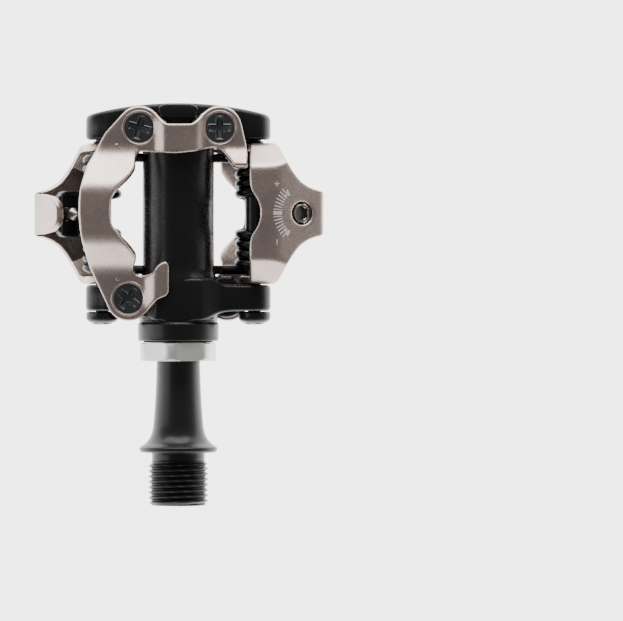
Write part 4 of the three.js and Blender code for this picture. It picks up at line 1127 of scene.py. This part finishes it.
    def _mark(self, corners: Array) -> tuple[Array, list]:
        """A small raised mark over a corner loop: the loop 0.05 mm under the face, and again 0.05 mm above it."""
        u, v = corners.T
        face, proud = self.surface(u, v), 0.05 * surface_normals(self.surface, u, v)[0]
        n = len(corners)
        points = np.concatenate([face - proud, face + proud]) * MM
        faces = [tuple(range(n))[::-1], tuple(range(n, 2 * n))]
        faces += [(i, (i + 1) % n, n + (i + 1) % n, n + i) for i in range(n)]
        return points, faces

    def _on_screw_axis(self, rings: Array) -> Array:
        """Turns rings about Y onto the screw's axis: local Y becomes the outward normal of the sloping top."""
        lean = self.slope
        out = np.array([math.sin(lean), 0, math.cos(lean)])
        down = np.array([math.cos(lean), 0, -math.sin(lean)])
        origin = np.array([self.screw_x, self.middle, self.top - (self.screw_x - self.bend_x) * math.tan(lean)])
        x, y, z = rings[..., 0:1], rings[..., 1:2], rings[..., 2:3]
        return origin + x * down + z * np.array([0, 1, 0]) + y * out

    def _screw(self) -> None:
        """The tension screw: hexagon socket (radius of a hexagon at each angle), head, shank and conical tip."""
        columns = 72
        angle = once_round(columns)
        hexed = hexagon(angle, 3.0)
        flat = np.full_like(angle, 1.0)
        rows = [(0.2 * flat, -2.3), (hexed * 0.96, -2.2), (hexed, -2.1), (hexed, -0.6)]
        rows += [(np.maximum(hexed, 1.68), -0.42)]
        rows += [(1.95 * flat, -0.4), (2.15 * flat, -0.5), (2.2 * flat, -0.7), (2.2 * flat, -2.55), (1.5 * flat, -2.6)]
        rows += [(1.5 * flat, -9.9), (1.4 * flat, -10.0), (0.25 * flat, -11.35), (0.1 * flat, -11.4)]
        rings = rings_about_y(np.stack([r for r, _ in rows]), np.array([y for _, y in rows])[:, None])
        name = f"{self.face.prefix}_tension_screw"
        shell = on_face(turned_shell(self._on_screw_axis(rings) * MM), self.face)
        piece(f"{name}_turned", shell, ZINC, 28, name, "bright_steel", name)

    def _block(self) -> None:
        """The tension block: a rounded slab under the top with a raised rim on both sides."""
        wide, deep = 5.5, 3.2

        def dished(height: float, depth: float) -> Surface:
            """A side of the block, dished by a depth inside its rim; a positive depth goes up."""

            def side(u: Array, v: Array) -> Array:
                """The side's points on the screw's axis."""
                edge = np.minimum(wide - np.abs(v), deep - np.abs(u))
                dish = depth * np.clip((edge - 0.7) / 0.4, 0, 1)
                return self._on_screw_axis(np.stack([u - 0.4, height + dish, v], axis=-1))

            return side

        outline = [
            (-deep, -wide + 1), (-deep + 1, -wide), (deep - 1.4, -wide), (deep, -wide + 1.4),
            (deep, wide - 1.4), (deep - 1.4, wide), (-deep + 1, wide), (-deep, wide - 1),
        ]
        top, under = dished(-4.2, -0.5), dished(-7.2, 0.6)
        hole = [(0.4, 0.0, 1.7, 0.0)]
        block = Plate("block", outline, top, 3, hole, rim=0.35, inner=0.4, spacing=0.3, back=under)
        name = f"{self.face.prefix}_tension_block"
        piece(f"{name}_moulded", on_face(block.build(), self.face), BLACK_PIN, 40, name, "black_steel", name)


# ---- pivot and spring ---------------------------------------------------------------------------


@dataclass
class Pivot:
    """The pivot pin of one face, its bush, and the torsion spring with its two coils."""

    face: Face
    pin_x: float = 18.1
    middle: float = 56.8
    wire: float = 1.1
    coil: float = 3.6
    bridge_half: float = 2.5
    leg: float = 13.3
    leg_end: float = 8.8
    turns: float = 4.25
    bridge: tuple[float, float] = (22.85, 3.95)

    def build(self) -> None:
        """Makes the pin with its cross recess, the bush and the spring."""
        self._pin()
        self._bush()
        self._spring()

    def _pin(self) -> None:
        """A pan head as a polar grid with a cross recess, then the shank, as rings about the pin's axis."""
        columns = 132
        angle = once_round(columns)
        face = 33.55
        head = np.concatenate([[0.02], np.linspace(0.1, 2.5, 34), [2.8, 3.1, 3.35, 3.55]])[:, None]
        dome = face - 3.0 + 1.15 * (head / 3.85) ** 3.2
        px, pz = head * np.cos(angle + 0.5), head * np.sin(angle + 0.5)
        top = dome + cross_depth(px, pz, 2.2, 1.2, 1.3)
        side = np.array([(3.75, 31.75), (3.85, 32.1), (3.83, 33.2), (3.6, face), (1.6, face), (1.6, 79.3), (1.3, 79.5)])
        radius, height = head_rings(head, top, side)
        rings = rings_about_y(radius, height) + np.array([self.pin_x, 0, 0])
        name = f"{self.face.prefix}_pivot_pin"
        shell = on_face(turned_shell(rings * MM), self.face)
        piece(f"{name}_cross", shell, BLACK_PIN, 28, "pedal_body", "black_steel", name)

    def _bush(self) -> None:
        """The bush between the arms: a rounded section carried about the pin's axis."""
        loop = smooth_loop([(1.78, 40.2), (2.2, 40.2), (2.2, 74.1), (1.78, 74.1)], 0.3, 1)
        rings = rings_about_y(np.repeat(loop[:, :1], 48, axis=1), loop[:, 1:]) + np.array([self.pin_x, 0, 0])
        name = f"{self.face.prefix}_spring_bush"
        shell = on_face(tube_shell(rings), self.face)
        piece(f"{name}_drawn", shell, BLACK_PIN, 40, "pedal_body", "black_steel", name)

    def spring_path(self) -> Array:
        """The wire's middle line: leg, coil, bridge, coil, leg.

        A coil is x = pin + R cos(a), z = R sin(a) with y growing with the turns; it starts on the far side of the
        pin and ends below it, where its leg leaves straight towards the barrel.
        """
        t = np.linspace(0, 1, 160)
        angle = t * self.turns * 2 * np.pi
        start = self.bridge_half + self.wire
        rise = start + (self.leg - start) * t
        x = self.pin_x + self.coil * np.cos(angle)
        z = -self.coil * np.sin(angle)
        far = np.stack([x, self.middle + rise, z], axis=-1)
        near = np.stack([x, self.middle - rise, z], axis=-1)
        bx, bz = self.bridge
        bridge = [(bx, self.middle - self.bridge_half, bz), (bx, self.middle + self.bridge_half, bz)]
        leg_z = -self.coil
        ends = [(self.leg_end, self.middle - self.leg, leg_z)], [(self.leg_end, self.middle + self.leg, leg_z)]
        return smooth_path([*ends[0], *near[::-1], *bridge, *far, *ends[1]], 0.32, 3)

    def _spring(self) -> None:
        """The wire, anchored in the body and pushing the claw; its mesh is not attached to either body."""
        prefix = self.face.prefix
        shell = on_face(swept_wire(self.spring_path(), self.wire, self.pin_x, 16), self.face)
        made = mesh_object(f"{prefix}_spring_wound", *shell, SPRING_WIRE, 40)
        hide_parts(f"{prefix}_spring")
        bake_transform(made)
        LOG.info("%s bends between pedal_body and %s_claw", made.name, prefix)


# ---- inner parts --------------------------------------------------------------------------------


def dress_inner_parts() -> None:
    """Gives the bearing parts, which stay as their CAD nodes, their finishes."""
    finishes = {
        "bearing_cone": BRIGHT,
        "keyed_washer": BRIGHT,
        "cone_locknut": BRIGHT,
        "inboard_ball_row": BRIGHT,
        "outboard_ball_row": BRIGHT,
        "bearing_sleeve": BRIGHT,
        "inboard_bush": BRONZE,
    }
    for name, finish in finishes.items():
        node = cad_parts[name]
        node.data.materials.clear()
        node.data.materials.append(finish.make())
        LOG.info("%s keeps its CAD mesh", name)


# ---- stage --------------------------------------------------------------------------------------


@dataclass
class Stage:
    """A plain pale floor, soft lights and the camera over the upper face."""

    frame_width_mm: float = 148.3
    distance_mm: float = 1400.0
    centre_mm: tuple[float, float] = (31.7, 33.8)
    floor_z: float = -0.085
    floor_glow: float = 3.4

    def build(self) -> None:
        """Makes the floor, the lights and the camera."""
        self._floor()
        self._lights()
        self._camera()

    def _floor(self) -> None:
        """A wide pale sheet, matt."""
        side = 3.0
        points = np.array([(-1, -1, 0), (1, -1, 0), (1, 1, 0), (-1, 1, 0)]) * side + (0, 0, self.floor_z)
        mesh = bpy.data.meshes.new("floor")
        mesh.from_pydata(points.tolist(), [], [(0, 1, 2, 3)])
        made = bpy.data.materials.new("pale_matt_floor")
        made.use_nodes = True
        shader = made.node_tree.nodes["Principled BSDF"]
        shader.inputs["Base Color"].default_value = linear("f7f7f7")
        shader.inputs["Roughness"].default_value = 0.9
        shader.inputs["Emission Color"].default_value = linear("ffffff")
        shader.inputs["Emission Strength"].default_value = self.floor_glow
        mesh.materials.append(made)
        floor = bpy.data.objects.new("floor", mesh)
        bpy.context.collection.objects.link(floor)

    def _area(self, name: str, place: tuple[float, float, float], size: tuple[float, float], watts: float) -> None:
        """A soft box at a place, aimed at the middle of the pedal."""
        light = bpy.data.lights.new(name, "AREA")
        light.shape = "RECTANGLE"
        light.size, light.size_y = size
        light.energy = watts
        made = bpy.data.objects.new(name, light)
        made.location = place
        made.rotation_euler = (Vector((0, 0.04, 0)) - Vector(place)).to_track_quat("-Z", "Y").to_euler()
        bpy.context.collection.objects.link(made)

    def _surround(self) -> None:
        """A studio round the pedal: bright low down, moderate at middle height and dim overhead.

        The brightness is a ramp over the sine of the elevation, so flats that face up stay deep and bends shine.
        """
        world = bpy.data.worlds.new("surround")
        bpy.context.scene.world = world
        world.use_nodes = True
        tree = world.node_tree
        tree.nodes.clear()
        place = add_node(tree, "ShaderNodeTexCoord").outputs["Generated"]
        height = add_node(tree, "ShaderNodeSeparateXYZ", None, {0: place}).outputs["Z"]
        ramp = add_node(tree, "ShaderNodeValToRGB", None, {"Fac": height})
        ramp.color_ramp.interpolation = "EASE"
        stops = [(0.0, 1.0), (0.12, 0.85), (0.36, 0.3), (0.6, 0.22), (0.9, 0.16)]
        for _ in stops[2:]:
            ramp.color_ramp.elements.new(0.5)
        for element, (position, level) in zip(ramp.color_ramp.elements, stops):
            element.position = position
            element.color = (level, level, level, 1)
        back = add_node(tree, "ShaderNodeBackground", None, {"Color": ramp.outputs["Color"], "Strength": 1.5})
        add_node(tree, "ShaderNodeOutputWorld", None, {"Surface": back.outputs[0]})

    def _lights(self) -> None:
        """Large soft boxes low round the pedal, strongest beyond its outboard end."""
        self._surround()
        self._area("far_box", (0.0, 1.7, 0.55), (2.4, 1.1), 62)
        self._area("near_box", (0.0, -1.7, 0.35), (2.4, 0.5), 12)
        self._area("left_box", (-1.7, 0.0, 0.4), (0.5, 2.2), 12)

    def _camera(self) -> None:
        """A long lens straight over the upper face."""
        data = bpy.data.cameras.new("camera")
        data.sensor_width = 36.0
        data.lens = data.sensor_width * self.distance_mm / self.frame_width_mm
        data.clip_end = 20
        camera = bpy.data.objects.new("camera", data)
        x, y = self.centre_mm
        camera.location = (x * MM, y * MM, self.distance_mm * MM)
        bpy.context.collection.objects.link(camera)
        bpy.context.scene.camera = camera


def main() -> None:
    """Builds the pedal sub-assembly by sub-assembly, then the stage."""
    logging.basicConfig(level=logging.INFO, format="%(message)s")
    Spindle().build()
    Body().build()
    for face in Face:
        Hoop(face).build()
        Claw(face).build()
        Pivot(face).build()
    dress_inner_parts()
    Stage().build()


if __name__ == "__main__":
    main()
